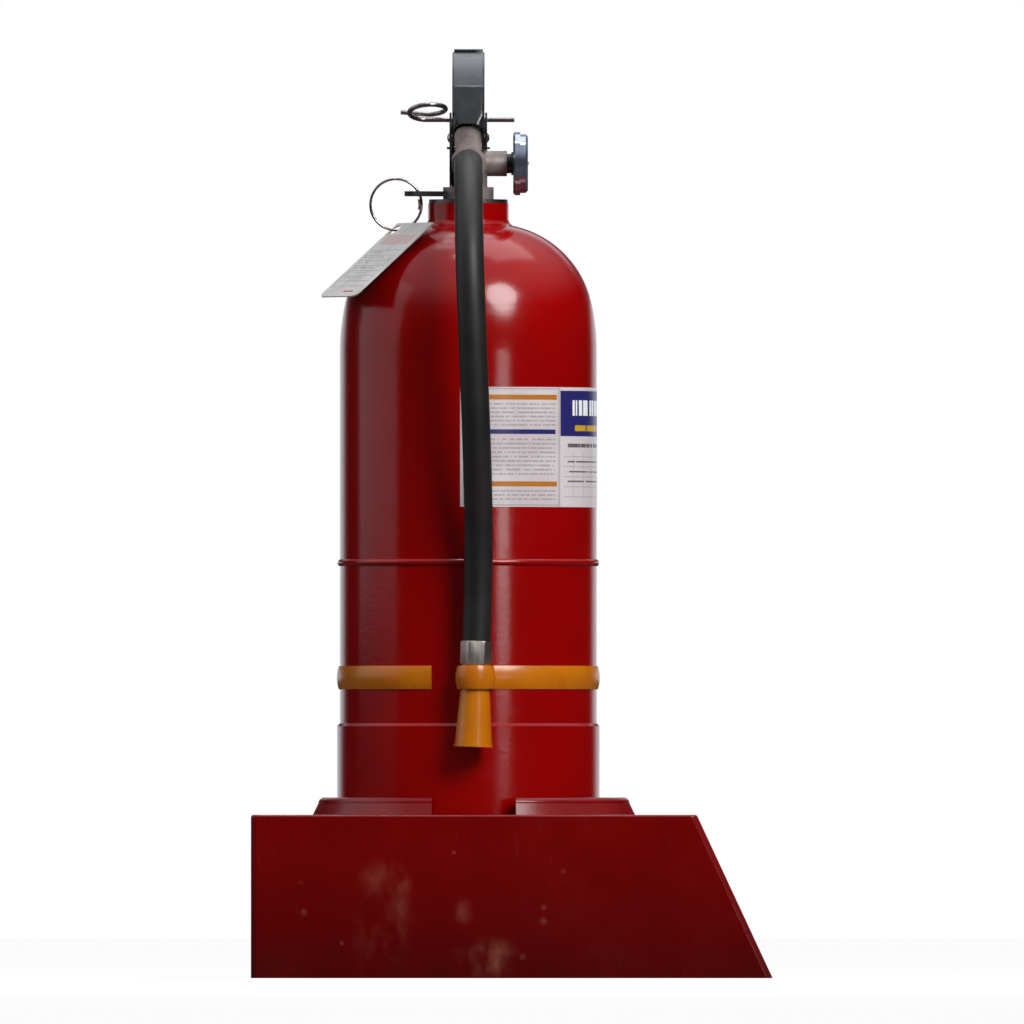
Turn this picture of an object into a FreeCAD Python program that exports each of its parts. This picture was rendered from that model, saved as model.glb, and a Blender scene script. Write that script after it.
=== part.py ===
import FreeCAD, Part
import math
import os

# A hand-held dry powder fire extinguisher standing in a moulded floor stand.
# Millimetres, +Z up. +X is the stand's slanted front, -Y the side with the hose, and +Y the
# side where the lever and the handle reach back. The origin is on the floor, in the middle
# of everything that is seen from above.

os.makedirs("parts", exist_ok=True)

# Stand
STAND_BACK = -135.0
STAND_FRONT_BOTTOM = 135.0
STAND_FRONT_TOP = 95.7
STAND_HALF_DEPTH = 115.4
STAND_HEIGHT = 84.5
STAND_WALL = 3.0
STAND_CORNER = 3.5
STAND_INNER_CORNER = 1.0
STAND_TOP_EDGE = 1.4
SEAT_MARGIN = 5.3
SEAT_DEPTH = 4.35
SEAT_X = -19.65
RIM_HEIGHT = 9.0
RIM_FOOT_OUT = 14.4
RIM_TOP_OUT = 8.6
RIM_ROUND = 3.0
RIM_WALL = 2.4
RIM_GAP_HALF = 21.8
PANEL_HALF_WIDTH = 72.0
PANEL_HEIGHT = 46.0
PANEL_DEPTH = 1.0

# Tank
TANK_X = -22.6
TANK_RADIUS = 66.8
TANK_WALL = 1.3
REST_GAP = 0.05
SKIRT_WALL = 1.45
SKIRT_HEIGHT = 51.8
SKIRT_TUCK = 1.05
SKIRT_TUCK_HEIGHT = 3.3
BOTTOM_TANGENT = 38.0
BOTTOM_KNUCKLE = 20.0
BOTTOM_CROWN = 105.0
SEAM_HEIGHT = 135.3
SEAM_BEAD_HEIGHT = 3.6
SEAM_BEAD_DEPTH = 1.3
SHOULDER_HEIGHT = 245.3
SHOULDER_ARC = 119.3
SHOULDER_TURN = 11.7
CROWN_ARC = 53.0
NECK_RADIUS = 21.0
NECK_HEIGHT = 11.2
NECK_INSERT = 5.0
NECK_FILLET = 2.6

# Label, powder and the dip tube
LABEL_DROP = 19.1
LABEL_HEIGHT = 62.2
LABEL_HALF_SPAN = 93.6
LABEL_THICKNESS = 0.15
POWDER_GAP = 0.3
DIP_RADIUS = 5.5
DIP_WALL = 1.5
DIP_INSERT = 7.0
DIP_FLOOR_GAP = 6.0

# Valve: heights are above the top of the neck
THREAD_RADIUS = 12.0
THREAD_GAP = 0.05
SHANK_LENGTH = 18.4
O_RING_WIRE = 1.1
O_RING_GAP = 0.1
WASHER_RADIUS = 20.5
WASHER_THICKNESS = 2.0
COLLAR_RADIUS = 13.2
COLLAR_HEIGHT = 6.4
COLUMN_RADIUS = 9.9
HEAD_BOTTOM = 28.6
HEAD_TOP = 39.8
HEAD_HALF_WIDTH = 7.1
HEAD_HALF_LENGTH = 10.5
HEAD_SHOULDER = 3.9
HEAD_FLAT_HALF = 3.2
OUTLET_HEIGHT = 20.7
OUTLET_RADIUS = 9.2
OUTLET_REACH = 12.5
OUTLET_BORE = 5.0
GAUGE_BOSS_RADIUS = 6.6
GAUGE_BOSS_REACH = 20.1
SEAT_WEB_HEIGHT = 10.6
SEAT_WEB = 2.0
SEAT_BORE = 3.4
CHAMBER_RADIUS = 4.4
CHAMBER_TOP = 26.6
GUIDE_GAP = 0.05

# Stem, its seals and the spring under it
STEM_RADIUS = 2.2
STEM_STANDOUT = 5.0
POPPET_RADIUS = 4.8
POPPET_THICKNESS = 2.0
SEAL_THICKNESS = 1.5
SEAL_GAP = 0.05
STEM_RING_WIRE = 0.7
STEM_RING_HEIGHT = 33.0
SPRING_WIRE = 0.8
SPRING_RADIUS = 3.6
SPRING_TURNS = 5

# Lever and carrying handle, in the YZ plane; places are measured from the pivot
MOVING_GAP = 0.3
SHEET = 1.0
PLATE = 1.1
PIVOT_Y = -6.9
PIVOT_DROP = 5.8
PIVOT_EYE = 5.0
LEVER_FRONT = (-7.8, 7.5)
LEVER_BEND = (1.7, 27.1)
LEVER_REAR = (89.2, 47.9)
LEVER_END = (92.2, 44.6)
LEVER_END_LOW = (90.6, 39.0)
LEVER_BELLY = (17.0, 19.3)
LEVER_THROAT = (8.4, 8.6)
LEVER_BREAST = (-6.9, 4.6)
LEVER_TAPER = 3.1
TONGUE_FRONT = -5.0
TONGUE_REAR = 4.0
TONGUE_GAP = 0.4
TONGUE_THICKNESS = 1.6
RIVET_RADIUS = 1.8
RIVET_HEAD_RADIUS = 2.6
RIVET_HEAD_HEIGHT = 1.25
RUNNING_GAP = 0.06
LATCH_RADIUS = 0.87
LATCH_STANDOUT = 1.4
LATCH_Y = 7.5
LATCH_HEIGHT = 29.1
EAR_TOP = 47.1
EAR_FRONT = -11.0
EAR_REAR = 12.0
EAR_FLAT = 6.0
EAR_FRONT_CUT = (3.0, 4.5)
EAR_REAR_CUT = (3.0, 1.5)
EAR_RIGHT_BOTTOM = 28.2
EAR_LEFT_BOTTOM = 8.8
HANDLE_START_TOP = 37.9
HANDLE_START_LOW = 24.1
HANDLE_REAR = 87.0
HANDLE_REAR_TOP = 23.6
HANDLE_REAR_LOW = 11.1
HANDLE_ROUND = 3.5
WEB_TOP = 42.9

# Safety pin
PIN_RADIUS = 1.25
PIN_Y = -5.6
PIN_HEIGHT = 43.4
PIN_TIP_X = 1.35
LOOP_X = -43.8
LOOP_RADIUS = 9.4
LOOP_TILT = 19.3
LOOP_PITCH = 3.0
PIN_TAIL = (-14.0, 1.2)
PIN_SLOT_TURN = 15.0

# Gauge: places are measured along +X from the tank's axis
GAUGE_STEM_RADIUS = 5.1
GAUGE_STEM_LENGTH = 3.2
GAUGE_SEAL_RADIUS = 6.0
GAUGE_SEAL_THICKNESS = 1.0
GAUGE_RADIUS = 16.5
GAUGE_CASE_DEPTH = 3.7
GAUGE_BACK = 0.9
GAUGE_SIDE = 1.2
BEZEL_RADIUS = 15.3
BEZEL_DEPTH = 4.0
BEZEL_LIP = 0.7
BEZEL_LIP_WIDTH = 1.6
DIAL_PLACE = 4.1
DIAL_THICKNESS = 0.4
NEEDLE_PLACE = 5.0
NEEDLE_THICKNESS = 0.4
NEEDLE_LENGTH = 10.5
NEEDLE_TAIL = 3.5
LENS_THICKNESS = 1.2
LENS_NUB = 0.7
TUBE_SECTION = 0.7
TUBE_SPAN = 270.0

# Hose, its ferrule and the nozzle
HOSE_RADIUS = 7.4
HOSE_BORE = 3.8
# The hose's points, down to the ferrule. X is from the tank's axis. At the top they are
# measured from the outlet's mouth. Below, they are out from the tank's side, under the
# outlet's height, or over the hose's end.
HOSE_TOP = [(0.0, 0.0, 0.0), (0.0, -29.5, 0.0), (0.1, -56.8, -11.3), (0.4, -77.6, -32.2)]
HOSE_BELLY = [(1.0, 34.6, -59.4), (2.6, 34.6, -101.1)]
HOSE_FOOT = [(4.8, 26.2, 93.9), (5.8, 12.2, 42.0), (4.4, 12.2, 0.0)]
TAIL_LENGTH = 12.0
TAIL_WALL = 1.0
TAIL_GAP = 0.05
FERRULE_LENGTH = 12.4
FERRULE_CORNERS = 8.3
NOZZLE_THREAD = 5.0
NOZZLE_THREAD_LENGTH = 7.0
NOZZLE_NECK_RADIUS = 7.3
NOZZLE_NECK_LENGTH = 12.9
NOZZLE_STEP = 0.3
NOZZLE_CONE_LENGTH = 28.6
NOZZLE_RIM_RADIUS = 10.2
NOZZLE_LIP = 0.5
NOZZLE_RIM_LENGTH = 1.0
NOZZLE_WALL = 1.3
NOZZLE_ORIFICE = 2.6

# Strap that holds the nozzle
STRAP_BOTTOM = 69.5
STRAP_HEIGHT = 12.1
STRAP_THICKNESS = 1.6
STRAP_EDGE = 0.6
STRAP_END_ANGLE = 16.5
STRAP_START_ANGLE = 8.0
CLIP_WALL = 2.9
CLIP_GAP = 0.2
CLIP_DROP = 0.4

# Tag, the tab it hangs from and its split ring
TAB_HEIGHT = 2.9
TAB_THICKNESS = 2.6
TAB_HALF_WIDTH = 4.2
TAB_ROOT = 4.5
TAB_LENGTH = 34.4
TAB_TURN = 16.3
TAB_HOLE_PLACE = 26.6
TAB_HOLE_RADIUS = 2.5
RING_RADIUS = 13.3
RING_WIRE = 0.7
RING_GAP = 0.65
RING_LAP_HALF = 13.0
TAG_WIDTH = 40.0
TAG_LENGTH = 60.2
TAG_THICKNESS = 0.7
TAG_CORNER = 4.0
TAG_HOLE_RADIUS = 3.5
TAG_HOLE_INSET = 5.4
TAG_AZIMUTH = 208.0
TAG_RING_TURN = 22.7
TAG_GAP = 0.35

# Levels and places that follow from the sizes above
foot_z = STAND_HEIGHT - SEAT_DEPTH + REST_GAP
seat_radius = TANK_RADIUS + SEAT_MARGIN
rim_top_radius = seat_radius + RIM_TOP_OUT
rim_foot_radius = seat_radius + RIM_FOOT_OUT
inner_radius = TANK_RADIUS - TANK_WALL
seam_z = foot_z + SEAM_HEIGHT
shoulder_z = foot_z + SHOULDER_HEIGHT
turn = math.radians(SHOULDER_TURN)
shoulder_r = TANK_RADIUS - SHOULDER_ARC
crown_r = shoulder_r + (SHOULDER_ARC - CROWN_ARC) * math.cos(turn)
crown_z = shoulder_z + (SHOULDER_ARC - CROWN_ARC) * math.sin(turn)


def dome_height(radius, depth=0.0):
    """The dome's height at a radius, on the outside or that deep inside."""
    return crown_z + math.sqrt((CROWN_ARC - depth) ** 2 - (radius - crown_r) ** 2)


neck_foot_z = dome_height(NECK_RADIUS)
neck_top_z = neck_foot_z + NECK_HEIGHT
collar_z = neck_top_z + WASHER_THICKNESS
collar_top_z = collar_z + COLLAR_HEIGHT
outlet_z = neck_top_z + OUTLET_HEIGHT
head_z = neck_top_z + HEAD_BOTTOM
head_top_z = neck_top_z + HEAD_TOP
pivot_z = head_top_z - PIVOT_DROP
pin_z = neck_top_z + PIN_HEIGHT
stem_top_z = head_top_z + STEM_STANDOUT
lever_inner = HEAD_HALF_WIDTH + MOVING_GAP
lever_outer = lever_inner + SHEET
ear_inner = lever_outer + MOVING_GAP
ear_outer = ear_inner + PLATE
stem_bore = STEM_RADIUS + GUIDE_GAP
seat_web_z = neck_top_z + SEAT_WEB_HEIGHT
poppet_z = seat_web_z - SEAL_GAP - SEAL_THICKNESS - POPPET_THICKNESS
shank_z = neck_top_z - SHANK_LENGTH
dip_top_z = shank_z + DIP_INSERT
ring_seat = THREAD_RADIUS + 2 * O_RING_WIRE + 2 * O_RING_GAP
label_z = shoulder_z - LABEL_DROP - LABEL_HEIGHT
strap_z = foot_z + STRAP_BOTTOM
hose_end_z = strap_z + STRAP_HEIGHT + CLIP_DROP + FERRULE_LENGTH
hose_path = [(TANK_X + x, y - OUTLET_REACH, outlet_z + z) for x, y, z in HOSE_TOP]
hose_path += [(TANK_X + x, -TANK_RADIUS - out, outlet_z + z) for x, out, z in HOSE_BELLY]
hose_path += [(TANK_X + x, -TANK_RADIUS - out, hose_end_z + z) for x, out, z in HOSE_FOOT]


def vec(x, y, z):
    return FreeCAD.Vector(x, y, z)


def wire_of(outline, place):
    """A closed wire. A row of the outline is a point, or an arc's middle and end."""
    edges = []
    first = place(*outline[0][-2:])
    here = first
    for row in outline[1:]:
        there = place(*row[-2:])
        if len(row) == 4:
            edges.append(Part.Arc(here, place(*row[:2]), there).toShape())
        else:
            edges.append(Part.LineSegment(here, there).toShape())
        here = there
    if here.distanceToPoint(first) > 1e-6:
        edges.append(Part.LineSegment(here, first).toShape())
    return Part.Wire(edges)


def turned(outline, span=360.0):
    """Turns an outline of radius and height round Z."""
    face = Part.Face(wire_of(outline, lambda r, z: vec(r, 0, z)))
    return face.revolve(vec(0, 0, 0), vec(0, 0, 1), span)


def on_tank(shape):
    """Moves a piece that was made round Z onto the tank's axis."""
    moved = shape.copy()
    moved.translate(vec(TANK_X, 0, 0))
    return moved


def along_x(shape):
    """Lays a piece that was made up Z along +X at the gauge's height."""
    laid = shape.copy()
    laid.rotate(vec(0, 0, 0), vec(0, 1, 0), 90)
    laid.translate(vec(TANK_X, 0, outlet_z))
    return laid


def rod(radius, low, high, x=0.0, y=0.0):
    return Part.makeCylinder(radius, high - low, vec(x, y, low))


def cross_rod(radius, half_length, y, z):
    """A rod along X through the valve."""
    return Part.makeCylinder(radius, 2 * half_length, vec(TANK_X - half_length, y, z), vec(1, 0, 0))


def prism(outline, half_width):
    """A plate across the valve from an outline of Y and Z."""
    face = Part.Face(wire_of(outline, lambda y, z: vec(TANK_X - half_width, y, z)))
    return face.extrude(vec(2 * half_width, 0, 0))


def box(x0, x1, y0, y1, z0, z1):
    return Part.makeBox(x1 - x0, y1 - y0, z1 - z0, vec(x0, y0, z0))


def ring_outline(inner, outer, low, high):
    return [(inner, low), (outer, low), (outer, high), (inner, high)]


def torus(major, minor, z):
    return Part.makeTorus(major, minor, vec(0, 0, z))


def dish(radius, tangent_z, knuckle, crown, inset):
    """A dished bottom from its middle out to the wall, inset by a wall's thickness."""
    reach = crown - knuckle
    rise = math.sqrt(reach**2 - (radius - knuckle) ** 2)
    centre_z = tangent_z + rise
    lean = math.atan2(rise, radius - knuckle)
    mid = (math.pi / 2 + lean) / 2
    knuckle_mid = -lean / 2
    big = crown - inset
    small = knuckle - inset
    centre_r = radius - knuckle
    return [
        (0, centre_z - big),
        (big * math.cos(mid), centre_z - big * math.sin(mid),
         big * math.cos(lean), centre_z - big * math.sin(lean)),
        (centre_r + small * math.cos(knuckle_mid), tangent_z + small * math.sin(knuckle_mid),
         radius - inset, tangent_z),
    ]


def dome(inset, end_radius):
    """The dome's line from the wall up to a radius, inset by a wall's thickness."""
    big = SHOULDER_ARC - inset
    small = CROWN_ARC - inset
    end = math.acos((end_radius - crown_r) / small)
    mid = (turn + end) / 2
    return [
        (TANK_RADIUS - inset, shoulder_z),
        (shoulder_r + big * math.cos(turn / 2), shoulder_z + big * math.sin(turn / 2),
         shoulder_r + big * math.cos(turn), shoulder_z + big * math.sin(turn)),
        (crown_r + small * math.cos(mid), crown_z + small * math.sin(mid),
         end_radius, crown_z + small * math.sin(end)),
    ]


def backwards(line):
    """The same line run from its end to its start."""
    ends = [row[-2:] for row in line]
    rows = [ends[-1]]
    for i in range(len(line) - 1, 0, -1):
        rows.append(line[i][:2] + ends[i - 1] if len(line[i]) == 4 else ends[i - 1])
    return rows


def stand_block(inset):
    """The stand's outside, or its hollow when it is inset by the wall."""
    slope = math.hypot(STAND_FRONT_BOTTOM - STAND_FRONT_TOP, STAND_HEIGHT) / STAND_HEIGHT
    half = STAND_HALF_DEPTH - inset
    back = STAND_BACK + inset
    front = STAND_FRONT_BOTTOM - inset * slope
    top = STAND_HEIGHT - inset
    lean = (STAND_FRONT_BOTTOM - STAND_FRONT_TOP) / STAND_HEIGHT
    low = -1.0 if inset else 0.0
    corners = [
        vec(back, -half, low),
        vec(front - low * lean, -half, low),
        vec(front - top * lean, -half, top),
        vec(back, -half, top),
    ]
    block = Part.Face(Part.makePolygon(corners + corners[:1])).extrude(vec(0, 2 * half, 0))
    posts = [e for e in block.Edges if abs(e.tangentAt(e.FirstParameter).z) > 0.5]
    return block.makeFillet(STAND_INNER_CORNER if inset else STAND_CORNER, posts)


def make_stand():
    outer = stand_block(0.0)
    top_edges = [e for e in outer.Edges if e.BoundBox.ZMin > STAND_HEIGHT - 0.01]
    outer = outer.makeFillet(STAND_TOP_EDGE, top_edges)
    shell = outer.cut(stand_block(STAND_WALL))
    floor_z = STAND_HEIGHT - SEAT_DEPTH
    cup = rod(seat_radius + STAND_WALL, floor_z - STAND_WALL, STAND_HEIGHT - STAND_WALL / 2, SEAT_X)
    shell = shell.fuse(cup)
    shell = shell.cut(rod(seat_radius, floor_z, STAND_HEIGHT + 1, SEAT_X))
    top_z = STAND_HEIGHT + RIM_HEIGHT
    root_z = STAND_HEIGHT - STAND_WALL / 2
    bend = RIM_ROUND * (1 - math.sqrt(0.5))
    rim = turned([
        (seat_radius, root_z),
        (rim_foot_radius, root_z),
        (rim_foot_radius, STAND_HEIGHT),
        (rim_top_radius + RIM_ROUND, top_z - RIM_ROUND),
        (rim_top_radius + RIM_ROUND - bend, top_z - bend, rim_top_radius, top_z),
        (seat_radius, top_z),
    ])
    gap = box(-2 * rim_foot_radius, 2 * rim_foot_radius, -RIM_GAP_HALF, RIM_GAP_HALF,
              root_z - 1, top_z + 1)
    side_gap = gap.copy()
    side_gap.rotate(vec(0, 0, 0), vec(0, 0, 1), 90)
    core = turned([
        (seat_radius + RIM_WALL, root_z - STAND_WALL),
        (rim_foot_radius - RIM_WALL, root_z - STAND_WALL),
        (rim_top_radius + RIM_ROUND - 1.5 * RIM_WALL, top_z - RIM_WALL),
        (seat_radius + RIM_WALL, top_z - RIM_WALL),
    ])
    core_gap = box(-2 * rim_foot_radius, 2 * rim_foot_radius, -RIM_GAP_HALF - RIM_WALL,
                   RIM_GAP_HALF + RIM_WALL, root_z - 5, top_z + 1)
    core_side_gap = core_gap.copy()
    core_side_gap.rotate(vec(0, 0, 0), vec(0, 0, 1), 90)
    rim = rim.cut(gap).cut(side_gap)
    core = core.cut(core_gap).cut(core_side_gap)
    for piece in (rim, core):
        piece.translate(vec(SEAT_X, 0, 0))
    shell = shell.fuse(rim).cut(core)
    slant = STAND_FRONT_BOTTOM - STAND_FRONT_TOP
    lean = math.atan2(slant, STAND_HEIGHT)
    panel = box(-PANEL_DEPTH, slant, -PANEL_HALF_WIDTH, PANEL_HALF_WIDTH,
                -PANEL_HEIGHT / 2, PANEL_HEIGHT / 2)
    panel.rotate(vec(0, 0, 0), vec(0, 1, 0), -math.degrees(lean))
    panel.translate(vec((STAND_FRONT_BOTTOM + STAND_FRONT_TOP) / 2, 0, STAND_HEIGHT / 2))
    return shell.cut(panel).removeSplitter()


def make_lower_shell():
    tangent_z = foot_z + BOTTOM_TANGENT
    outside = dish(TANK_RADIUS, tangent_z, BOTTOM_KNUCKLE, BOTTOM_CROWN, 0.0)
    inside = dish(TANK_RADIUS, tangent_z, BOTTOM_KNUCKLE, BOTTOM_CROWN, TANK_WALL)
    line = outside + [(TANK_RADIUS, seam_z), (inner_radius, seam_z)] + backwards(inside)
    return on_tank(turned(line))


def make_upper_shell():
    outside = [(TANK_RADIUS, seam_z)] + dome(0.0, NECK_RADIUS)
    return on_tank(turned(outside + backwards(dome(TANK_WALL, NECK_RADIUS)) + [(inner_radius, seam_z)]))


def make_seam_bead():
    half = SEAM_BEAD_HEIGHT / 2
    return on_tank(turned([
        (TANK_RADIUS, seam_z - half),
        (TANK_RADIUS + SEAM_BEAD_DEPTH, seam_z, TANK_RADIUS, seam_z + half),
    ]))


def make_neck_ring():
    seat_z = neck_top_z - 2 * O_RING_WIRE - O_RING_GAP
    bore = THREAD_RADIUS + THREAD_GAP
    return on_tank(turned([
        (bore, neck_foot_z - NECK_INSERT),
        (NECK_RADIUS, neck_foot_z - NECK_INSERT),
        (NECK_RADIUS, neck_top_z),
        (ring_seat, neck_top_z),
        (ring_seat, seat_z),
        (bore, seat_z),
    ]))


def make_neck_weld():
    far = NECK_RADIUS + NECK_FILLET
    far_z = dome_height(far)
    top_z = neck_foot_z + NECK_FILLET
    bead = turned([
        (NECK_RADIUS, far_z - 2),
        (far, far_z - 2),
        (far, far_z),
        (NECK_RADIUS + 0.32 * NECK_FILLET, far_z + 0.36 * (top_z - far_z), NECK_RADIUS, top_z),
    ])
    under = turned([(0, seam_z), (TANK_RADIUS, seam_z)] + dome(0.0, NECK_RADIUS) + [(0, neck_foot_z)])
    return on_tank(bead.cut(under))


def make_base_skirt():
    top_z = foot_z + SKIRT_HEIGHT
    outer = TANK_RADIUS + SKIRT_WALL
    bend_z = foot_z + SKIRT_TUCK_HEIGHT
    return on_tank(turned([
        (TANK_RADIUS - SKIRT_TUCK, foot_z),
        (outer - SKIRT_TUCK, foot_z),
        (outer, bend_z),
        (outer, top_z - SKIRT_WALL),
        (TANK_RADIUS + 0.3, top_z),
        (TANK_RADIUS, top_z),
        (TANK_RADIUS, bend_z),
    ]))


def make_label():
    outer = TANK_RADIUS + LABEL_THICKNESS
    sheet = turned(ring_outline(TANK_RADIUS, outer, label_z, label_z + LABEL_HEIGHT), 2 * LABEL_HALF_SPAN)
    sheet.rotate(vec(0, 0, 0), vec(0, 0, 1), -LABEL_HALF_SPAN)
    return on_tank(sheet)


def make_powder():
    tangent_z = foot_z + BOTTOM_TANGENT
    inset = TANK_WALL + POWDER_GAP
    bottom = dish(TANK_RADIUS, tangent_z, BOTTOM_KNUCKLE, BOTTOM_CROWN, inset)
    heap = turned(bottom + [(TANK_RADIUS - inset, shoulder_z), (0, shoulder_z)])
    return on_tank(heap.cut(rod(DIP_RADIUS + POWDER_GAP, bottom[0][1] - 1, shoulder_z + 1)))


def make_dip_tube():
    low = dish(TANK_RADIUS, foot_z + BOTTOM_TANGENT, BOTTOM_KNUCKLE, BOTTOM_CROWN, TANK_WALL)[0][1]
    outline = ring_outline(DIP_RADIUS - DIP_WALL, DIP_RADIUS, low + DIP_FLOOR_GAP, dip_top_z)
    return on_tank(turned(outline))


def make_o_ring():
    major = THREAD_RADIUS + O_RING_GAP + O_RING_WIRE
    return on_tank(torus(major, O_RING_WIRE, neck_top_z - O_RING_WIRE - O_RING_GAP / 2))


def make_washer():
    return on_tank(turned(ring_outline(THREAD_RADIUS + THREAD_GAP, WASHER_RADIUS, neck_top_z, collar_z)))


def make_valve_body():
    body = turned([
        (0, shank_z),
        (THREAD_RADIUS, shank_z),
        (THREAD_RADIUS, collar_z),
        (COLLAR_RADIUS, collar_z),
        (COLLAR_RADIUS, collar_top_z),
        (COLUMN_RADIUS, collar_top_z),
        (COLUMN_RADIUS, head_z),
        (0, head_z),
    ])
    shoulder = head_top_z - HEAD_SHOULDER
    head_root = head_z - 1.0
    mid_x = (HEAD_HALF_WIDTH + HEAD_FLAT_HALF) / 2 + 0.7
    mid_z = head_top_z - 0.36 * HEAD_SHOULDER
    front = [
        vec(-HEAD_HALF_WIDTH, -HEAD_HALF_LENGTH, head_root),
        vec(-HEAD_HALF_WIDTH, -HEAD_HALF_LENGTH, shoulder),
        vec(-mid_x, -HEAD_HALF_LENGTH, mid_z),
        vec(-HEAD_FLAT_HALF, -HEAD_HALF_LENGTH, head_top_z),
        vec(HEAD_FLAT_HALF, -HEAD_HALF_LENGTH, head_top_z),
        vec(mid_x, -HEAD_HALF_LENGTH, mid_z),
        vec(HEAD_HALF_WIDTH, -HEAD_HALF_LENGTH, shoulder),
        vec(HEAD_HALF_WIDTH, -HEAD_HALF_LENGTH, head_root),
    ]
    head = Part.Face(Part.makePolygon(front + front[:1])).extrude(vec(0, 2 * HEAD_HALF_LENGTH, 0))
    outlet = Part.makeCylinder(OUTLET_RADIUS, OUTLET_REACH, vec(0, 0, outlet_z), vec(0, -1, 0))
    outlet_bore = Part.makeCylinder(OUTLET_BORE, OUTLET_REACH, vec(0, 0, outlet_z), vec(0, -1, 0))
    boss = Part.makeCylinder(GAUGE_BOSS_RADIUS, GAUGE_BOSS_REACH, vec(0, 0, outlet_z), vec(1, 0, 0))
    body = body.fuse([head, outlet])
    flat = ear_inner - THREAD_GAP
    far = 2 * COLUMN_RADIUS
    for sign, low in ((-1, EAR_LEFT_BOTTOM), (1, EAR_RIGHT_BOTTOM)):
        side = sorted((sign * flat, sign * (COLUMN_RADIUS + 5)))
        body = body.cut(box(*side, -far, far, neck_top_z + low - MOVING_GAP / 3, head_z + 1))
    body = body.fuse(boss)
    guide_z = neck_top_z + CHAMBER_TOP
    body = body.cut(rod(DIP_RADIUS, shank_z - 1, seat_web_z))
    body = body.cut(rod(SEAT_BORE, seat_web_z - 1, seat_web_z + SEAT_WEB + 1))
    body = body.cut(rod(CHAMBER_RADIUS, seat_web_z + SEAT_WEB, guide_z))
    body = body.cut(outlet_bore.cut(rod(CHAMBER_RADIUS, outlet_z - far, outlet_z + far)))
    body = body.cut(rod(stem_bore, guide_z - 1, head_top_z + 1))
    ring_z = neck_top_z + STEM_RING_HEIGHT
    groove = 2 * STEM_RING_WIRE + O_RING_GAP
    body = body.cut(rod(stem_bore + groove, ring_z - groove / 2, ring_z + groove / 2))
    passage_start = vec(GAUGE_BOSS_REACH, 0, outlet_z)
    passage_end = vec(DIP_RADIUS - 1, 0, seat_web_z - 2.5)
    way = passage_end - passage_start
    body = body.cut(Part.makeCylinder(0.9, way.Length, passage_start, way))
    body = on_tank(body)
    pin_gap = THREAD_GAP
    body = body.cut(cross_rod(RIVET_RADIUS + pin_gap, far, PIVOT_Y, pivot_z))
    body = body.cut(cross_rod(LATCH_RADIUS + pin_gap, far, LATCH_Y, neck_top_z + LATCH_HEIGHT))
    return body.cut(tab_plate(THREAD_GAP))


def tab_plate(gap):
    """The tab's plate, from its root inside the collar, a gap larger all round."""
    low = collar_z + TAB_HEIGHT - TAB_THICKNESS / 2 - gap
    inner = -COLLAR_RADIUS + TAB_ROOT + gap
    width = TAB_HALF_WIDTH + gap
    outer = -TAB_LENGTH
    plate = box(outer + width, inner, -width, width, low, low + TAB_THICKNESS + 2 * gap)
    plate = plate.fuse(rod(width, low, low + TAB_THICKNESS + 2 * gap, outer + width))
    plate.rotate(vec(0, 0, 0), vec(0, 0, 1), TAB_TURN)
    return on_tank(plate.removeSplitter())


def tab_hole():
    lean = math.radians(180 + TAB_TURN)
    return TANK_X + TAB_HOLE_PLACE * math.cos(lean), TAB_HOLE_PLACE * math.sin(lean)


def make_tag_tab():
    x, y = tab_hole()
    return tab_plate(0.0).cut(rod(TAB_HOLE_RADIUS, collar_z - 5, collar_top_z + 5, x, y))


def ring_place():
    """The ring's centre, and the turn from it down to the dome's arc, which it clears by a gap."""
    x, y = tab_hole()
    z = collar_z + TAB_HEIGHT
    out = TANK_X - x - crown_r
    above = z - crown_z
    far = math.hypot(out, above)
    reach = CROWN_ARC + RING_GAP + RING_WIRE + RING_RADIUS
    spread = math.acos((far**2 + RING_RADIUS**2 - reach**2) / (2 * far * RING_RADIUS))
    lean = spread - math.atan2(out, above)
    centre = vec(x - RING_RADIUS * math.sin(lean), y, z - RING_RADIUS * math.cos(lean))
    return centre, math.atan2(crown_z - centre.z, TANK_X - crown_r - centre.x)


def make_tag_ring():
    centre, _ = ring_place()
    ring = Part.makeTorus(RING_RADIUS, RING_WIRE, centre, vec(0, 1, 0))
    lap_radius = RING_RADIUS - 1.5 * RING_WIRE
    lap = Part.makeTorus(lap_radius, RING_WIRE, vec(0, 0, 0), vec(0, 0, 1), -180, 180, 2 * RING_LAP_HALF)
    lap.rotate(vec(0, 0, 0), vec(0, 0, 1), -RING_LAP_HALF)
    lap.rotate(vec(0, 0, 0), vec(1, 0, 0), 90)
    lap.translate(centre)
    return ring.fuse(lap).removeSplitter()


def tag_frame():
    """The tag's corner by its hole, and its directions across, along and out of the sheet."""
    azimuth = math.radians(TAG_AZIMUTH)
    out = vec(math.cos(azimuth), math.sin(azimuth), 0)
    centre, inward = ring_place()
    ring_turn = inward - math.radians(TAG_RING_TURN)
    hole = centre + vec(math.cos(ring_turn), 0, math.sin(ring_turn)) * RING_RADIUS
    aside = (hole - vec(TANK_X, 0, 0)).dot(out) - crown_r
    above = hole.z - crown_z
    clear = CROWN_ARC + TAG_GAP + TAG_THICKNESS / 2
    slope = math.atan2(aside, above) + math.acos(clear / math.hypot(aside, above))
    normal = out * math.sin(slope) + vec(0, 0, math.cos(slope))
    along = out * math.cos(slope) - vec(0, 0, math.sin(slope))
    return hole, along.cross(normal), along, normal


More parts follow.
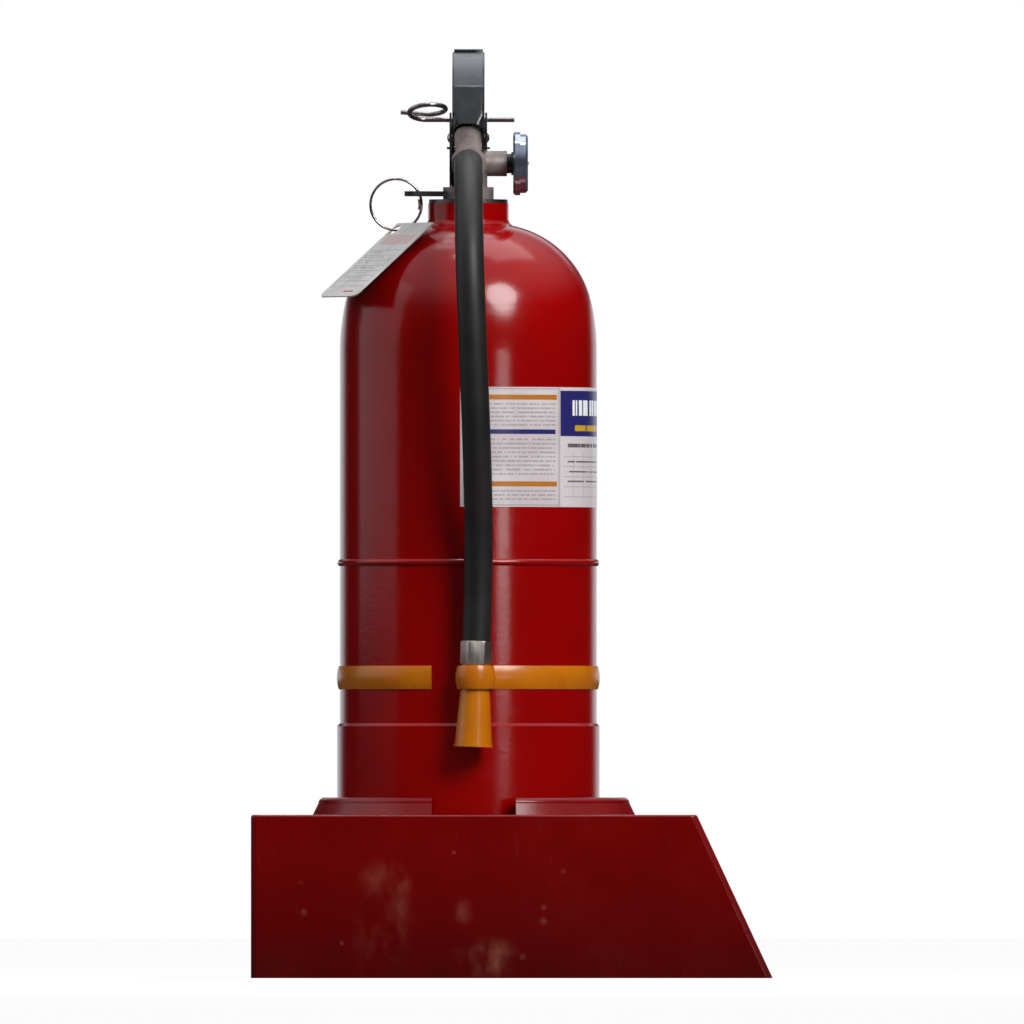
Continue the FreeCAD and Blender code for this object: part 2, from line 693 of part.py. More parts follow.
def make_tag():
    hole, across, along, normal = tag_frame()
    inset = TAG_HOLE_INSET
    card = box(inset - TAG_WIDTH, inset, -inset, TAG_LENGTH - inset, -TAG_THICKNESS / 2, TAG_THICKNESS / 2)
    corners = [e for e in card.Edges
               if abs(e.tangentAt(e.FirstParameter).z) > 0.5 and e.BoundBox.YMin > 0]
    card = card.makeFillet(TAG_CORNER, corners)
    card = card.cut(rod(TAG_HOLE_RADIUS, -5, 5))
    sheet = FreeCAD.Matrix(
        across.x, along.x, -normal.x, hole.x,
        across.y, along.y, -normal.y, hole.y,
        across.z, along.z, -normal.z, hole.z,
        0, 0, 0, 1)
    return card.transformGeometry(sheet)


def make_stem():
    return on_tank(turned([
        (0, poppet_z),
        (POPPET_RADIUS, poppet_z),
        (POPPET_RADIUS, poppet_z + POPPET_THICKNESS),
        (STEM_RADIUS, poppet_z + POPPET_THICKNESS),
        (STEM_RADIUS, stem_top_z - 0.8),
        (STEM_RADIUS - 0.8, stem_top_z),
        (0, stem_top_z),
    ]))


def make_stem_seal():
    low = poppet_z + POPPET_THICKNESS
    return on_tank(turned(ring_outline(STEM_RADIUS, POPPET_RADIUS, low, low + SEAL_THICKNESS)))


def make_stem_ring():
    return on_tank(torus(stem_bore + STEM_RING_WIRE, STEM_RING_WIRE, neck_top_z + STEM_RING_HEIGHT))


def make_spring():
    low = dip_top_z + SPRING_WIRE
    height = poppet_z - SPRING_WIRE - low
    path = Part.makeHelix(height / SPRING_TURNS, height, SPRING_RADIUS)
    circle = Part.Circle(vec(SPRING_RADIUS, 0, 0), vec(0, 1, 0), SPRING_WIRE / 2)
    coil = Part.Wire(path.Edges).makePipeShell([Part.Wire(circle.toShape())], True, True)
    coil.translate(vec(TANK_X, 0, low))
    return Part.Solid(coil) if coil.ShapeType == "Shell" else coil


def from_pivot(place):
    return PIVOT_Y + place[0], pivot_z + place[1]


def offset_line(a, b, distance):
    """The line from a to b moved to its right by a distance."""
    length = math.hypot(b[0] - a[0], b[1] - a[1])
    step = ((b[1] - a[1]) / length * distance, -(b[0] - a[0]) / length * distance)
    return (a[0] + step[0], a[1] + step[1]), (b[0] + step[0], b[1] + step[1])


def crossing(line, other):
    (ax, ay), (bx, by) = line
    (cx, cy), (dx, dy) = other
    share = ((cx - ax) * (dy - cy) - (cy - ay) * (dx - cx)) / (
        (bx - ax) * (dy - cy) - (by - ay) * (dx - cx))
    return ax + (bx - ax) * share, ay + (by - ay) * share


def make_lever():
    front, bend, rear, end, end_low, belly, throat, breast = (
        from_pivot(p) for p in (LEVER_FRONT, LEVER_BEND, LEVER_REAR, LEVER_END, LEVER_END_LOW,
                                LEVER_BELLY, LEVER_THROAT, LEVER_BREAST))
    eye = from_pivot((PIVOT_EYE, 0))
    eye_low = from_pivot((0, -PIVOT_EYE))
    eye_front = from_pivot((-PIVOT_EYE, 0))
    side = [front, bend, rear, end, end_low, belly, throat, eye, eye_low + eye_front, breast]
    lever = prism(side, lever_outer)
    steep = offset_line(front, bend, SHEET)
    gentle = offset_line(bend, rear, SHEET)
    low = pivot_z - 3 * PIVOT_EYE
    steep_down = (steep[0][0] - (steep[1][0] - steep[0][0]), steep[0][1] - (steep[1][1] - steep[0][1]))
    gentle_out = (gentle[1][0] + (gentle[1][0] - gentle[0][0]), 2 * gentle[1][1] - gentle[0][1])
    hollow = [steep_down, crossing(steep, gentle), gentle_out, (gentle_out[0], low), (steep_down[0], low)]
    lever = lever.cut(prism(hollow, lever_inner))
    for sign in (-1, 1):
        lever = lever.cut(lever_taper(front, bend, sign))
    tongue_z = stem_top_z + TONGUE_GAP
    tongue = box(TANK_X - lever_inner - SHEET / 2, TANK_X + lever_inner + SHEET / 2,
                 TONGUE_FRONT, TONGUE_REAR, tongue_z, tongue_z + TONGUE_THICKNESS)
    lever = lever.fuse(tongue)
    lever = lever.cut(cross_rod(RIVET_RADIUS + RUNNING_GAP, 20, PIVOT_Y, pivot_z))
    return lever.cut(pin_slot()).removeSplitter()


def lever_taper(front, bend, sign):
    """What is taken off a lower front corner, so that the lever narrows to its end."""
    along = vec(0, bend[0] - front[0], bend[1] - front[1])
    inward = vec(0, along.z, -along.y)
    inward.normalize()
    edge_x = TANK_X + sign * lever_outer
    start = vec(edge_x, front[0], front[1]) - along * 0.25
    stop = vec(edge_x, bend[0], bend[1])

    def corner(centre, size):
        a = centre - inward * 2 + vec(sign * 2, 0, 0)
        b = centre - inward * 2 - vec(sign * size, 0, 0)
        c = centre + inward * size - vec(sign * size, 0, 0)
        d = centre + inward * size + vec(sign * 2, 0, 0)
        return Part.makePolygon([a, b, c, d, a])

    return Part.makeLoft([corner(start, LEVER_TAPER * 1.25), corner(stop, 0.02)], True, True)


def pin_slot():
    """The slot that clears the safety pin while the lever turns."""
    reach = vec(0, PIN_Y - PIVOT_Y, pin_z - pivot_z)
    wide = PIN_RADIUS + MOVING_GAP
    slot = None
    steps = 4
    for i in range(steps + 1):
        spot = FreeCAD.Rotation(vec(1, 0, 0), PIN_SLOT_TURN * i / steps).multVec(reach)
        hole = cross_rod(wide, 20, PIVOT_Y + spot.y, pivot_z + spot.z)
        slot = hole if slot is None else slot.fuse(hole)
    return slot


def make_handle():
    top_z = neck_top_z + EAR_TOP
    left_z = neck_top_z + EAR_LEFT_BOTTOM
    right_z = neck_top_z + EAR_RIGHT_BOTTOM
    start_top = (EAR_REAR, neck_top_z + HANDLE_START_TOP)
    start_low = (EAR_REAR, neck_top_z + HANDLE_START_LOW)
    rear_top = neck_top_z + HANDLE_REAR_TOP
    rear_low = neck_top_z + HANDLE_REAR_LOW
    grip = [
        start_low,
        (HANDLE_REAR - HANDLE_ROUND, rear_low),
        (HANDLE_REAR, rear_low + HANDLE_ROUND),
        (HANDLE_REAR, rear_top - HANDLE_ROUND),
        (HANDLE_REAR - HANDLE_ROUND, rear_top),
        start_top,
    ]
    inner_rear = HANDLE_REAR - PLATE
    hollow = [
        (EAR_REAR - 1, start_low[1] + PLATE),
        (HANDLE_REAR - HANDLE_ROUND, rear_low + PLATE),
        (inner_rear, rear_low + HANDLE_ROUND),
        (inner_rear, top_z),
        (EAR_REAR - 1, top_z),
    ]
    handle = prism(grip, ear_outer).cut(prism(hollow, ear_inner))
    ear_back = EAR_REAR + 1.0
    for sign, low in ((-1, left_z), (1, right_z)):
        ear = [
            (EAR_FRONT, low),
            (EAR_FRONT, top_z - EAR_FRONT_CUT[1]),
            (EAR_FRONT + EAR_FRONT_CUT[0], top_z),
            (EAR_FRONT + EAR_FRONT_CUT[0] + EAR_FLAT, top_z),
            (ear_back - EAR_REAR_CUT[0], start_top[1] + EAR_REAR_CUT[1]),
            (ear_back, start_top[1]),
            (ear_back, max(low, start_low[1])),
        ]
        if low < start_low[1]:
            ear.append((EAR_REAR - 3, low))
        wall = prism(ear, PLATE / 2)
        wall.translate(vec(sign * (ear_inner + PLATE / 2), 0, 0))
        handle = handle.fuse(wall)
    web = box(TANK_X - ear_inner - PLATE / 2, TANK_X + ear_inner + PLATE / 2,
              EAR_REAR - PLATE, EAR_REAR, start_low[1], neck_top_z + WEB_TOP)
    handle = handle.fuse(web)
    hole = PIN_RADIUS + RUNNING_GAP
    handle = handle.cut(cross_rod(hole, 20, PIN_Y, pin_z))
    handle = handle.cut(cross_rod(RIVET_RADIUS + THREAD_GAP, 20, PIVOT_Y, pivot_z))
    handle = handle.cut(cross_rod(LATCH_RADIUS + THREAD_GAP, 20, LATCH_Y, neck_top_z + LATCH_HEIGHT))
    return handle.removeSplitter()


def make_rivet():
    """One turned piece: a shaft through both ears, with a domed head outside each."""
    ball = (RIVET_HEAD_RADIUS**2 + RIVET_HEAD_HEIGHT**2) / (2 * RIVET_HEAD_HEIGHT)
    half = math.asin(RIVET_HEAD_RADIUS / ball) / 2
    mid_r = ball * math.sin(half)
    mid_z = ear_outer + RIVET_HEAD_HEIGHT - ball * (1 - math.cos(half))
    tip = ear_outer + RIVET_HEAD_HEIGHT
    rivet = turned([
        (0, -tip),
        (mid_r, -mid_z, RIVET_HEAD_RADIUS, -ear_outer),
        (RIVET_RADIUS, -ear_outer),
        (RIVET_RADIUS, ear_outer),
        (RIVET_HEAD_RADIUS, ear_outer),
        (mid_r, mid_z, 0, tip),
    ])
    rivet.rotate(vec(0, 0, 0), vec(0, 1, 0), 90)
    rivet.translate(vec(TANK_X, PIVOT_Y, pivot_z))
    return rivet


def make_latch_pin():
    return cross_rod(LATCH_RADIUS, ear_outer + LATCH_STANDOUT, LATCH_Y, neck_top_z + LATCH_HEIGHT)


def make_safety_pin():
    tilt = math.radians(LOOP_TILT)
    near = vec(0, -math.cos(tilt), math.sin(tilt))
    normal = vec(0, math.sin(tilt), math.cos(tilt))
    start = vec(LOOP_X, PIN_Y, pin_z)
    centre = start + near * LOOP_RADIUS
    steps = 12
    points = []
    for i in range(steps + 1):
        angle = 2 * math.pi * i / steps
        spot = centre - near * (LOOP_RADIUS * math.cos(angle)) - vec(LOOP_RADIUS * math.sin(angle), 0, 0)
        points.append(spot + normal * (LOOP_PITCH * (1 - math.cos(angle / 2)) / 2))
    tail = points[-1] + vec(PIN_TAIL[0], 0, PIN_TAIL[1])
    tail_way = tail - points[-1]
    tail_way.normalize()
    curve = Part.BSplineCurve()
    curve.interpolate(Points=points, Scale=False, InitialTangent=vec(-1, 0, 0), FinalTangent=tail_way)
    tip = vec(PIN_TIP_X, PIN_Y, pin_z)
    path = Part.Wire([
        Part.LineSegment(tip, start).toShape(),
        curve.toShape(),
        Part.LineSegment(points[-1], tail).toShape(),
    ])
    section = Part.Wire(Part.Circle(tip, vec(1, 0, 0), PIN_RADIUS).toShape())
    return path.makePipeShell([section], True, False)


def make_gauge_stem():
    start = GAUGE_BOSS_REACH
    stem = rod(GAUGE_STEM_RADIUS, start, start + GAUGE_STEM_LENGTH - GAUGE_SEAL_THICKNESS)
    return along_x(stem.cut(rod(1.0, start - 1, start + 10)))


def make_gauge_seal():
    stop = GAUGE_BOSS_REACH + GAUGE_STEM_LENGTH
    return along_x(turned(ring_outline(1.0, GAUGE_SEAL_RADIUS, stop - GAUGE_SEAL_THICKNESS, stop)))


gauge_start = GAUGE_BOSS_REACH + GAUGE_STEM_LENGTH
bezel_start = gauge_start + GAUGE_CASE_DEPTH
gauge_stop = bezel_start + BEZEL_DEPTH
gauge_bore = BEZEL_RADIUS - GAUGE_SIDE
lens_start = gauge_stop - BEZEL_LIP - LENS_THICKNESS


def make_gauge_case():
    return along_x(turned([
        (1.0, gauge_start),
        (GAUGE_RADIUS - 1.0, gauge_start),
        (GAUGE_RADIUS, gauge_start + 1.0),
        (GAUGE_RADIUS, bezel_start),
        (gauge_bore, bezel_start),
        (gauge_bore, gauge_start + GAUGE_BACK),
        (1.0, gauge_start + GAUGE_BACK),
    ]))


def make_gauge_bezel():
    lip = gauge_bore - BEZEL_LIP_WIDTH
    return along_x(turned([
        (gauge_bore, bezel_start),
        (BEZEL_RADIUS, bezel_start),
        (BEZEL_RADIUS, gauge_stop - 1.2),
        (BEZEL_RADIUS - 1.2, gauge_stop),
        (lip, gauge_stop),
        (lip, gauge_stop - BEZEL_LIP),
        (gauge_bore, gauge_stop - BEZEL_LIP),
    ]))


def make_gauge_lens():
    lens = turned([
        (0, lens_start),
        (gauge_bore, lens_start),
        (gauge_bore, lens_start + LENS_THICKNESS),
        (0.9, lens_start + LENS_THICKNESS),
        (0.9, gauge_stop + LENS_NUB - 0.4),
        (0.5, gauge_stop + LENS_NUB),
        (0, gauge_stop + LENS_NUB),
    ])
    return along_x(lens)


def make_gauge_dial():
    low = gauge_start + DIAL_PLACE
    return along_x(turned(ring_outline(0.9, gauge_bore, low, low + DIAL_THICKNESS)))


def make_gauge_needle():
    low = gauge_start + NEEDLE_PLACE
    high = low + NEEDLE_THICKNESS
    blade = [vec(0.9, -NEEDLE_TAIL, low), vec(-0.9, -NEEDLE_TAIL, low),
             vec(-0.25, NEEDLE_LENGTH, low), vec(0.25, NEEDLE_LENGTH, low)]
    needle = Part.Face(Part.makePolygon(blade + blade[:1])).extrude(vec(0, 0, NEEDLE_THICKNESS))
    needle = needle.fuse(rod(1.6, low, high))
    needle = needle.fuse(rod(0.5, gauge_start + DIAL_PLACE - 0.6, high))
    needle.rotate(vec(0, 0, 0), vec(0, 0, 1), 90)
    return along_x(needle.removeSplitter())


def make_bourdon_tube():
    low = gauge_start + GAUGE_BACK + 0.3
    high = gauge_start + DIAL_PLACE - 1.0
    wide = gauge_bore - 3.0
    arc = turned(ring_outline(wide - TUBE_SECTION, wide, low, high), TUBE_SPAN)
    foot = box(0, wide - TUBE_SECTION / 2, -1.5, 0, low, high)
    foot = foot.cut(rod(1.5, low - 1, high + 1))
    return along_x(arc.fuse(foot).removeSplitter())


def hose_wire():
    """The hose's centreline: straight runs joined by tangent arcs."""
    points = [vec(*p) for p in hose_path]
    edges = []
    radii = []
    here = points[0]
    for before, corner, after in zip(points, points[1:], points[2:]):
        into = corner - before
        out = after - corner
        half = into.getAngle(out) / 2
        back = 0.45 * min(into.Length, out.Length)
        radii.append(back / math.tan(half))
        into.normalize()
        out.normalize()
        start = corner - into * back
        stop = corner + out * back
        aside = out - into
        aside.normalize()
        middle = corner + aside * (radii[-1] * (1 / math.cos(half) - 1))
        edges.append(Part.LineSegment(here, start).toShape())
        edges.append(Part.Arc(start, middle, stop).toShape())
        here = stop
    edges.append(Part.LineSegment(here, points[-1]).toShape())
    return Part.Wire(edges), radii


def hose_pipe(wire, radius):
    start = vec(*hose_path[0])
    way = vec(*hose_path[1]) - start
    section = Part.Wire(Part.Circle(start, way, radius).toShape())
    return wire.makePipeShell([section], True, False)


def make_hose():
    wire, radii = hose_wire()
    print("hose radii", [round(r, 1) for r in radii], "length", round(wire.Length, 1))
    hose = hose_pipe(wire, HOSE_RADIUS)
    expected = math.pi * HOSE_RADIUS**2 * wire.Length
    print("hose volume over section x length", round(hose.Volume / expected, 4))
    return hose.cut(hose_pipe(wire, HOSE_BORE))


def at_hose_end(shape):
    """Places a piece made up Z under the origin onto the hose's end, in line with it."""
    end = vec(*hose_path[-1])
    way = vec(*hose_path[-2]) - end
    placed = shape.copy()
    turn_to = FreeCAD.Rotation(vec(0, 0, 1), way)
    placed.Placement = FreeCAD.Placement(end, turn_to)
    return placed


def barbed_tail(wall_bore):
    """A tail inside the hose, from its face at the origin up Z."""
    radius = HOSE_BORE - TAIL_GAP
    return turned(ring_outline(wall_bore, radius, 0, TAIL_LENGTH))


def make_coupling():
    bore = HOSE_BORE - TAIL_GAP - TAIL_WALL
    tail = barbed_tail(bore)
    start = -(OUTLET_REACH - CHAMBER_RADIUS - 1.0)
    plug = turned(ring_outline(bore, OUTLET_BORE - THREAD_GAP, start, 0))
    piece = tail.fuse(plug).removeSplitter()
    piece.rotate(vec(0, 0, 0), vec(1, 0, 0), 90)
    piece.translate(vec(*hose_path[0]))
    return piece


def make_ferrule():
    bore = HOSE_BORE - TAIL_GAP - TAIL_WALL
    corners = []
    for i in range(6):
        angle = math.radians(60 * i + 30)
        corners.append(vec(FERRULE_CORNERS * math.sin(angle), FERRULE_CORNERS * math.cos(angle), 0))
    nut = Part.Face(Part.makePolygon(corners + corners[:1])).extrude(vec(0, 0, -FERRULE_LENGTH))
    cone = 0.8
    low = -FERRULE_LENGTH
    round_off = turned([
        (0, low), (FERRULE_CORNERS - cone, low), (FERRULE_CORNERS, low + cone),
        (FERRULE_CORNERS, -cone), (FERRULE_CORNERS - cone, 0), (0, 0)])
    nut = nut.common(round_off)
    nut = nut.fuse(barbed_tail(bore))
    nut = nut.cut(rod(bore, -FERRULE_LENGTH - 1, 1))
    nut = nut.cut(rod(NOZZLE_THREAD + THREAD_GAP, low - 1, low + NOZZLE_THREAD_LENGTH + THREAD_GAP))
    return at_hose_end(nut.removeSplitter())


def make_nozzle():
    top = -FERRULE_LENGTH
    neck = top - NOZZLE_NECK_LENGTH
    rim = neck - NOZZLE_CONE_LENGTH
    mouth = rim - NOZZLE_RIM_LENGTH
    flare = NOZZLE_RIM_RADIUS - NOZZLE_LIP
    outline = [
        (NOZZLE_ORIFICE, top + NOZZLE_THREAD_LENGTH),
        (NOZZLE_THREAD, top + NOZZLE_THREAD_LENGTH),
        (NOZZLE_THREAD, top),
        (NOZZLE_NECK_RADIUS, top),
        (NOZZLE_NECK_RADIUS, neck),
        (NOZZLE_NECK_RADIUS + NOZZLE_STEP, neck),
        (flare, rim),
        (NOZZLE_RIM_RADIUS, rim),
        (NOZZLE_RIM_RADIUS, mouth),
        (NOZZLE_RIM_RADIUS - NOZZLE_WALL, mouth),
        (flare - NOZZLE_WALL, rim),
        (NOZZLE_ORIFICE, neck + 4),
    ]
    return at_hose_end(turned(outline))


def make_strap():
    low = strap_z
    high = low + STRAP_HEIGHT
    mid = (low + high) / 2
    edge = TANK_RADIUS + STRAP_EDGE
    strap = turned([
        (TANK_RADIUS, low),
        (edge, low),
        (TANK_RADIUS + STRAP_THICKNESS, mid, edge, high),
        (TANK_RADIUS, high),
    ], 360 - STRAP_END_ANGLE - STRAP_START_ANGLE)
    strap.rotate(vec(0, 0, 0), vec(0, 0, 1), -90 + STRAP_START_ANGLE)
    strap = on_tank(strap)
    centre = vec(*hose_path[-1])
    way = centre - vec(*hose_path[-2])
    centre = centre + way * ((mid - centre.z) / way.z)
    bore = NOZZLE_NECK_RADIUS + CLIP_GAP
    outer = bore + CLIP_WALL
    edge = outer - STRAP_THICKNESS + STRAP_EDGE
    clip = turned([(0, low), (edge, low), (outer, mid, edge, high), (0, high)])
    clip.translate(vec(centre.x, centre.y, 0))
    bridge_x = TANK_X + TANK_RADIUS * math.sin(math.radians(STRAP_START_ANGLE))
    bridge = box(bridge_x, centre.x + edge, centre.y, -TANK_RADIUS + 2, low + CLIP_DROP, high - CLIP_DROP)
    clip = clip.fuse(bridge)
    clip = clip.cut(on_tank(rod(TANK_RADIUS, low - 1, high + 1)))
    reach = way * (2 * STRAP_HEIGHT / way.Length)
    clip = clip.cut(Part.makeCylinder(bore, 2 * reach.Length, centre - reach, way))
    return strap.fuse(clip).removeSplitter()


NODES = {
    "stand_shell": make_stand,
    "lower_shell": make_lower_shell,
    "upper_shell": make_upper_shell,
    "girth_weld": make_seam_bead,
    "neck_ring": make_neck_ring,
    "neck_weld": make_neck_weld,
    "base_skirt": make_base_skirt,
    "wrap_label": make_label,
    "powder_charge": make_powder,
    "dip_tube": make_dip_tube,
    "neck_o_ring": make_o_ring,
    "valve_washer": make_washer,
    "valve_body": make_valve_body,
    "valve_stem": make_stem,
    "stem_seal": make_stem_seal,
    "stem_o_ring": make_stem_ring,
    "valve_spring": make_spring,
    "carry_handle": make_handle,
    "squeeze_lever": make_lever,
    "lever_rivet": make_rivet,
    "handle_cross_pin": make_latch_pin,
    "safety_pin": make_safety_pin,
    "gauge_stem": make_gauge_stem,
    "gauge_seal": make_gauge_seal,
    "gauge_case": make_gauge_case,
    "gauge_bezel": make_gauge_bezel,
    "gauge_lens": make_gauge_lens,
    "gauge_dial": make_gauge_dial,
    "gauge_needle": make_gauge_needle,
    "bourdon_tube": make_bourdon_tube,
    "hose_coupling": make_coupling,
    "hose": make_hose,
    "hose_ferrule": make_ferrule,
    "nozzle": make_nozzle,
    "nozzle_strap": make_strap,
    "tag_tab": make_tag_tab,
    "tag_ring": make_tag_ring,
    "inspection_tag": make_tag,
}

for node, make in NODES.items():
    shape = make()
    shape.exportStep(f"parts/{node}.step")
    print(node, shape.ShapeType, len(shape.Solids), shape.isValid(), round(shape.Volume, 1))
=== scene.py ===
import bmesh
import bpy
import math
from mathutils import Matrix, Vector


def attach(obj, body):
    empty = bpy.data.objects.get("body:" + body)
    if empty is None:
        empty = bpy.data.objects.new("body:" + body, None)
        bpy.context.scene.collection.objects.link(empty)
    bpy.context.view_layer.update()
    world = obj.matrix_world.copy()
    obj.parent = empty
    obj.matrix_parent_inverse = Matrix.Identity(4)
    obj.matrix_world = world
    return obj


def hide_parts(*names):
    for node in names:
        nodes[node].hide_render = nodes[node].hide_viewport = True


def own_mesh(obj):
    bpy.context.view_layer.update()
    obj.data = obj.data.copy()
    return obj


# A hand-held dry powder fire extinguisher in its moulded stand, in metres.
# +X is the stand's slanted front, -Y the side with the hose, +Z is up.

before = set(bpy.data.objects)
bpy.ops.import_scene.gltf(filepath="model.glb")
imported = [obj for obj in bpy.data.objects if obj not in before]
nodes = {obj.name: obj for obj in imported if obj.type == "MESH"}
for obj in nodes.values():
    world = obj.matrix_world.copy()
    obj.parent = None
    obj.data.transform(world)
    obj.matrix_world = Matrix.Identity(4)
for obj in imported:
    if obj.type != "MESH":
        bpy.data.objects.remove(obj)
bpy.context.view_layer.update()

MM = 0.001
TANK_X = -0.0226
TANK_RADIUS = 0.0668
# The gauge's and the hose outlet's height
OUTLET_Z = 0.42315
# The rivet that the lever turns on
PIVOT = Vector((TANK_X, -0.0069, 0.436446))

HOSE_RADIUS = 0.0074
# The hose's points, from the outlet down to the ferrule
HOSE_PATH = [
    (-0.0226, -0.0125, 0.4231),
    (-0.0226, -0.0420, 0.4231),
    (-0.0225, -0.0693, 0.4118),
    (-0.0222, -0.0901, 0.3909),
    (-0.0216, -0.1014, 0.3637),
    (-0.0200, -0.1014, 0.3220),
    (-0.0178, -0.0930, 0.2685),
    (-0.0168, -0.0790, 0.2166),
    (-0.0182, -0.0790, 0.1746),
]


class Socket:
    """A shader value. Sums and comparisons of it add their Math nodes."""

    def __init__(self, finish, link):
        self.finish = finish
        self.link = link

    def maths(self, operation, *values):
        return self.finish.node("ShaderNodeMath", {"operation": operation}, dict(enumerate(values)))

    def __add__(self, other):
        return self.maths("ADD", self, other)

    def __radd__(self, other):
        return self.maths("ADD", other, self)

    def __sub__(self, other):
        return self.maths("SUBTRACT", self, other)

    def __rsub__(self, other):
        return self.maths("SUBTRACT", other, self)

    def __mul__(self, other):
        return self.maths("MULTIPLY", self, other)

    def __rmul__(self, other):
        return self.maths("MULTIPLY", other, self)

    def __truediv__(self, other):
        return self.maths("DIVIDE", self, other)

    def __pow__(self, other):
        return self.maths("POWER", self, other)

    def __abs__(self):
        return self.maths("ABSOLUTE", self)

    def __gt__(self, other):
        return self.maths("GREATER_THAN", self, other)

    def __lt__(self, other):
        return self.maths("LESS_THAN", self, other)

    def __mod__(self, other):
        return self.maths("FLOORED_MODULO", self, other)

    def floor(self):
        return self.maths("FLOOR", self)

    def root(self):
        return self.maths("SQRT", self)

    def or_more(self, other):
        return self.maths("MAXIMUM", self, other)

    def turn_of(self, other):
        """The angle whose tangent is this value over the other."""
        return self.maths("ARCTAN2", self, other)

    def ease(self, low, high):
        """Rises smoothly from 0 at low to 1 at high."""
        return self.finish.node(
            "ShaderNodeMapRange", {"interpolation_type": "SMOOTHSTEP"},
            {"Value": self, "From Min": low, "From Max": high})

    def within(self, low, high, soft):
        """1 between low and high, with soft ends."""
        return self.ease(low - soft, low + soft) * (1 - self.ease(high - soft, high + soft))


class Tree:
    """A node tree, and the one way in which its nodes are made."""

    def __init__(self, tree):
        self.tree = tree
        tree.nodes.clear()

    def node(self, kind, settings=None, values=None, out=0):
        """Makes a node, and gives one of its outputs where it has any."""
        made = self.tree.nodes.new(kind)
        for name, value in (settings or {}).items():
            setattr(made, name, value)
        for key, value in (values or {}).items():
            if isinstance(value, Socket):
                self.tree.links.new(value.link, made.inputs[key])
            else:
                made.inputs[key].default_value = value
        return Socket(self, made.outputs[out]) if made.outputs else made

    def part_of(self, vector, axis):
        """The X, Y or Z of a vector."""
        return self.node("ShaderNodeSeparateXYZ", None, {0: vector}, axis)

    def mix(self, share, first, second):
        """One colour laid over another by a share."""
        return self.node("ShaderNodeMix", {"data_type": "RGBA"}, {0: share, 6: first, 7: second}, 2)


class Finish(Tree):
    """A material, with the surface point's place on the object."""

    def __init__(self, name):
        self.material = bpy.data.materials.new(name)
        self.material.use_nodes = True
        super().__init__(self.material.node_tree)
        self.place = self.node("ShaderNodeTexCoord", out="Object")
        self.x = self.part_of(self.place, "X")
        self.y = self.part_of(self.place, "Y")
        self.z = self.part_of(self.place, "Z")

    def vector(self, x, y, z):
        """A vector from three values."""
        return self.node("ShaderNodeCombineXYZ", None, {0: x, 1: y, 2: z})

    def along(self, origin, way):
        """How far the surface point lies from an origin in one direction."""
        gap = self.node("ShaderNodeVectorMath", {"operation": "SUBTRACT"}, {0: self.place, 1: origin})
        return self.node("ShaderNodeVectorMath", {"operation": "DOT_PRODUCT"}, {0: gap, 1: way}, "Value")

    def stretched(self, scale):
        """The surface point's place, scaled apart in X, Y and Z."""
        return self.node("ShaderNodeVectorMath", {"operation": "MULTIPLY"}, {0: self.place, 1: scale})

    def oval(self, x, z, wide, tall, core, rim):
        """1 inside an oval seen along Y, fading out from its core to its rim."""
        reach = (((self.x - x) / wide) ** 2 + ((self.z - z) / tall) ** 2).root()
        return 1 - reach.ease(core, rim)

    def noise(self, scale, detail=2.0, rough=0.5, at=None):
        return self.node("ShaderNodeTexNoise", None, {
            "Vector": at or self.place, "Scale": scale, "Detail": detail, "Roughness": rough})

    def bump(self, height, depth, strength):
        return self.node("ShaderNodeBump", None, {
            "Strength": strength, "Distance": depth, "Height": height})

    def surface(self, **values):
        """Closes the material with one principled shader."""
        named = {key.replace("_", " ").title().replace("Ior", "IOR"): value
                 for key, value in values.items()}
        self.close(self.node("ShaderNodeBsdfPrincipled", None, named))
        return self.material

    def close(self, shader):
        self.node("ShaderNodeOutputMaterial", None, {"Surface": shader})


def strongest(masks):
    """At each point the highest of several masks."""
    most = masks[0]
    for mask in masks[1:]:
        most = most.or_more(mask)
    return most


def shade(red, green, blue):
    """A colour as a photograph gives it, 0 to 255, made linear."""
    parts = []
    for value in (red, green, blue):
        share = value / 255
        parts.append(share / 12.92 if share <= 0.04045 else ((share + 0.055) / 1.055) ** 2.4)
    return (*parts, 1.0)


WHITE = (1.0, 1.0, 1.0, 1.0)


# Camera, light and floor

# Metres to a pixel at the tank, and the object's middle column and lowest row in the photograph
PIXEL = 0.00052
PHOTO_SIZE = 1024
MIDDLE_COLUMN = 511.8
LOWEST_ROW = 977.3
AIM = Vector((
    PIXEL * (PHOTO_SIZE / 2 - MIDDLE_COLUMN), 0.0, PIXEL * (LOWEST_ROW - PHOTO_SIZE / 2)))
EYE_HEIGHT = 0.0845
LENS = 1500.0
SENSOR = 36.0

# The world's levels, and where its reflected back, sky and dark strip begin and end
SKY_COLOUR = (0.92, 0.97, 1.04, 1.0)
SKY_LEVEL = 0.85
DARK_LEVEL = 0.012
FILL_LEVEL = 0.30
BACK_FROM, BACK_TO = 0.78, 0.93
SKY_FROM, SKY_TO = 0.25, 0.85
STRIP_LOW, STRIP_HIGH = 0.08, 0.28
STRIP_SOFT = 0.03
STRIP_DEPTH = 0.92

FLOOR_REACH = 7.0
FLOOR_GREY = (0.07, 0.07, 0.07, 1.0)
# How much of the floor that the camera sees is plain white. The rest shows the shadow.
FLOOR_GLOW = 0.95
LAMP_AIM = Vector((TANK_X, 0.0, 0.25))


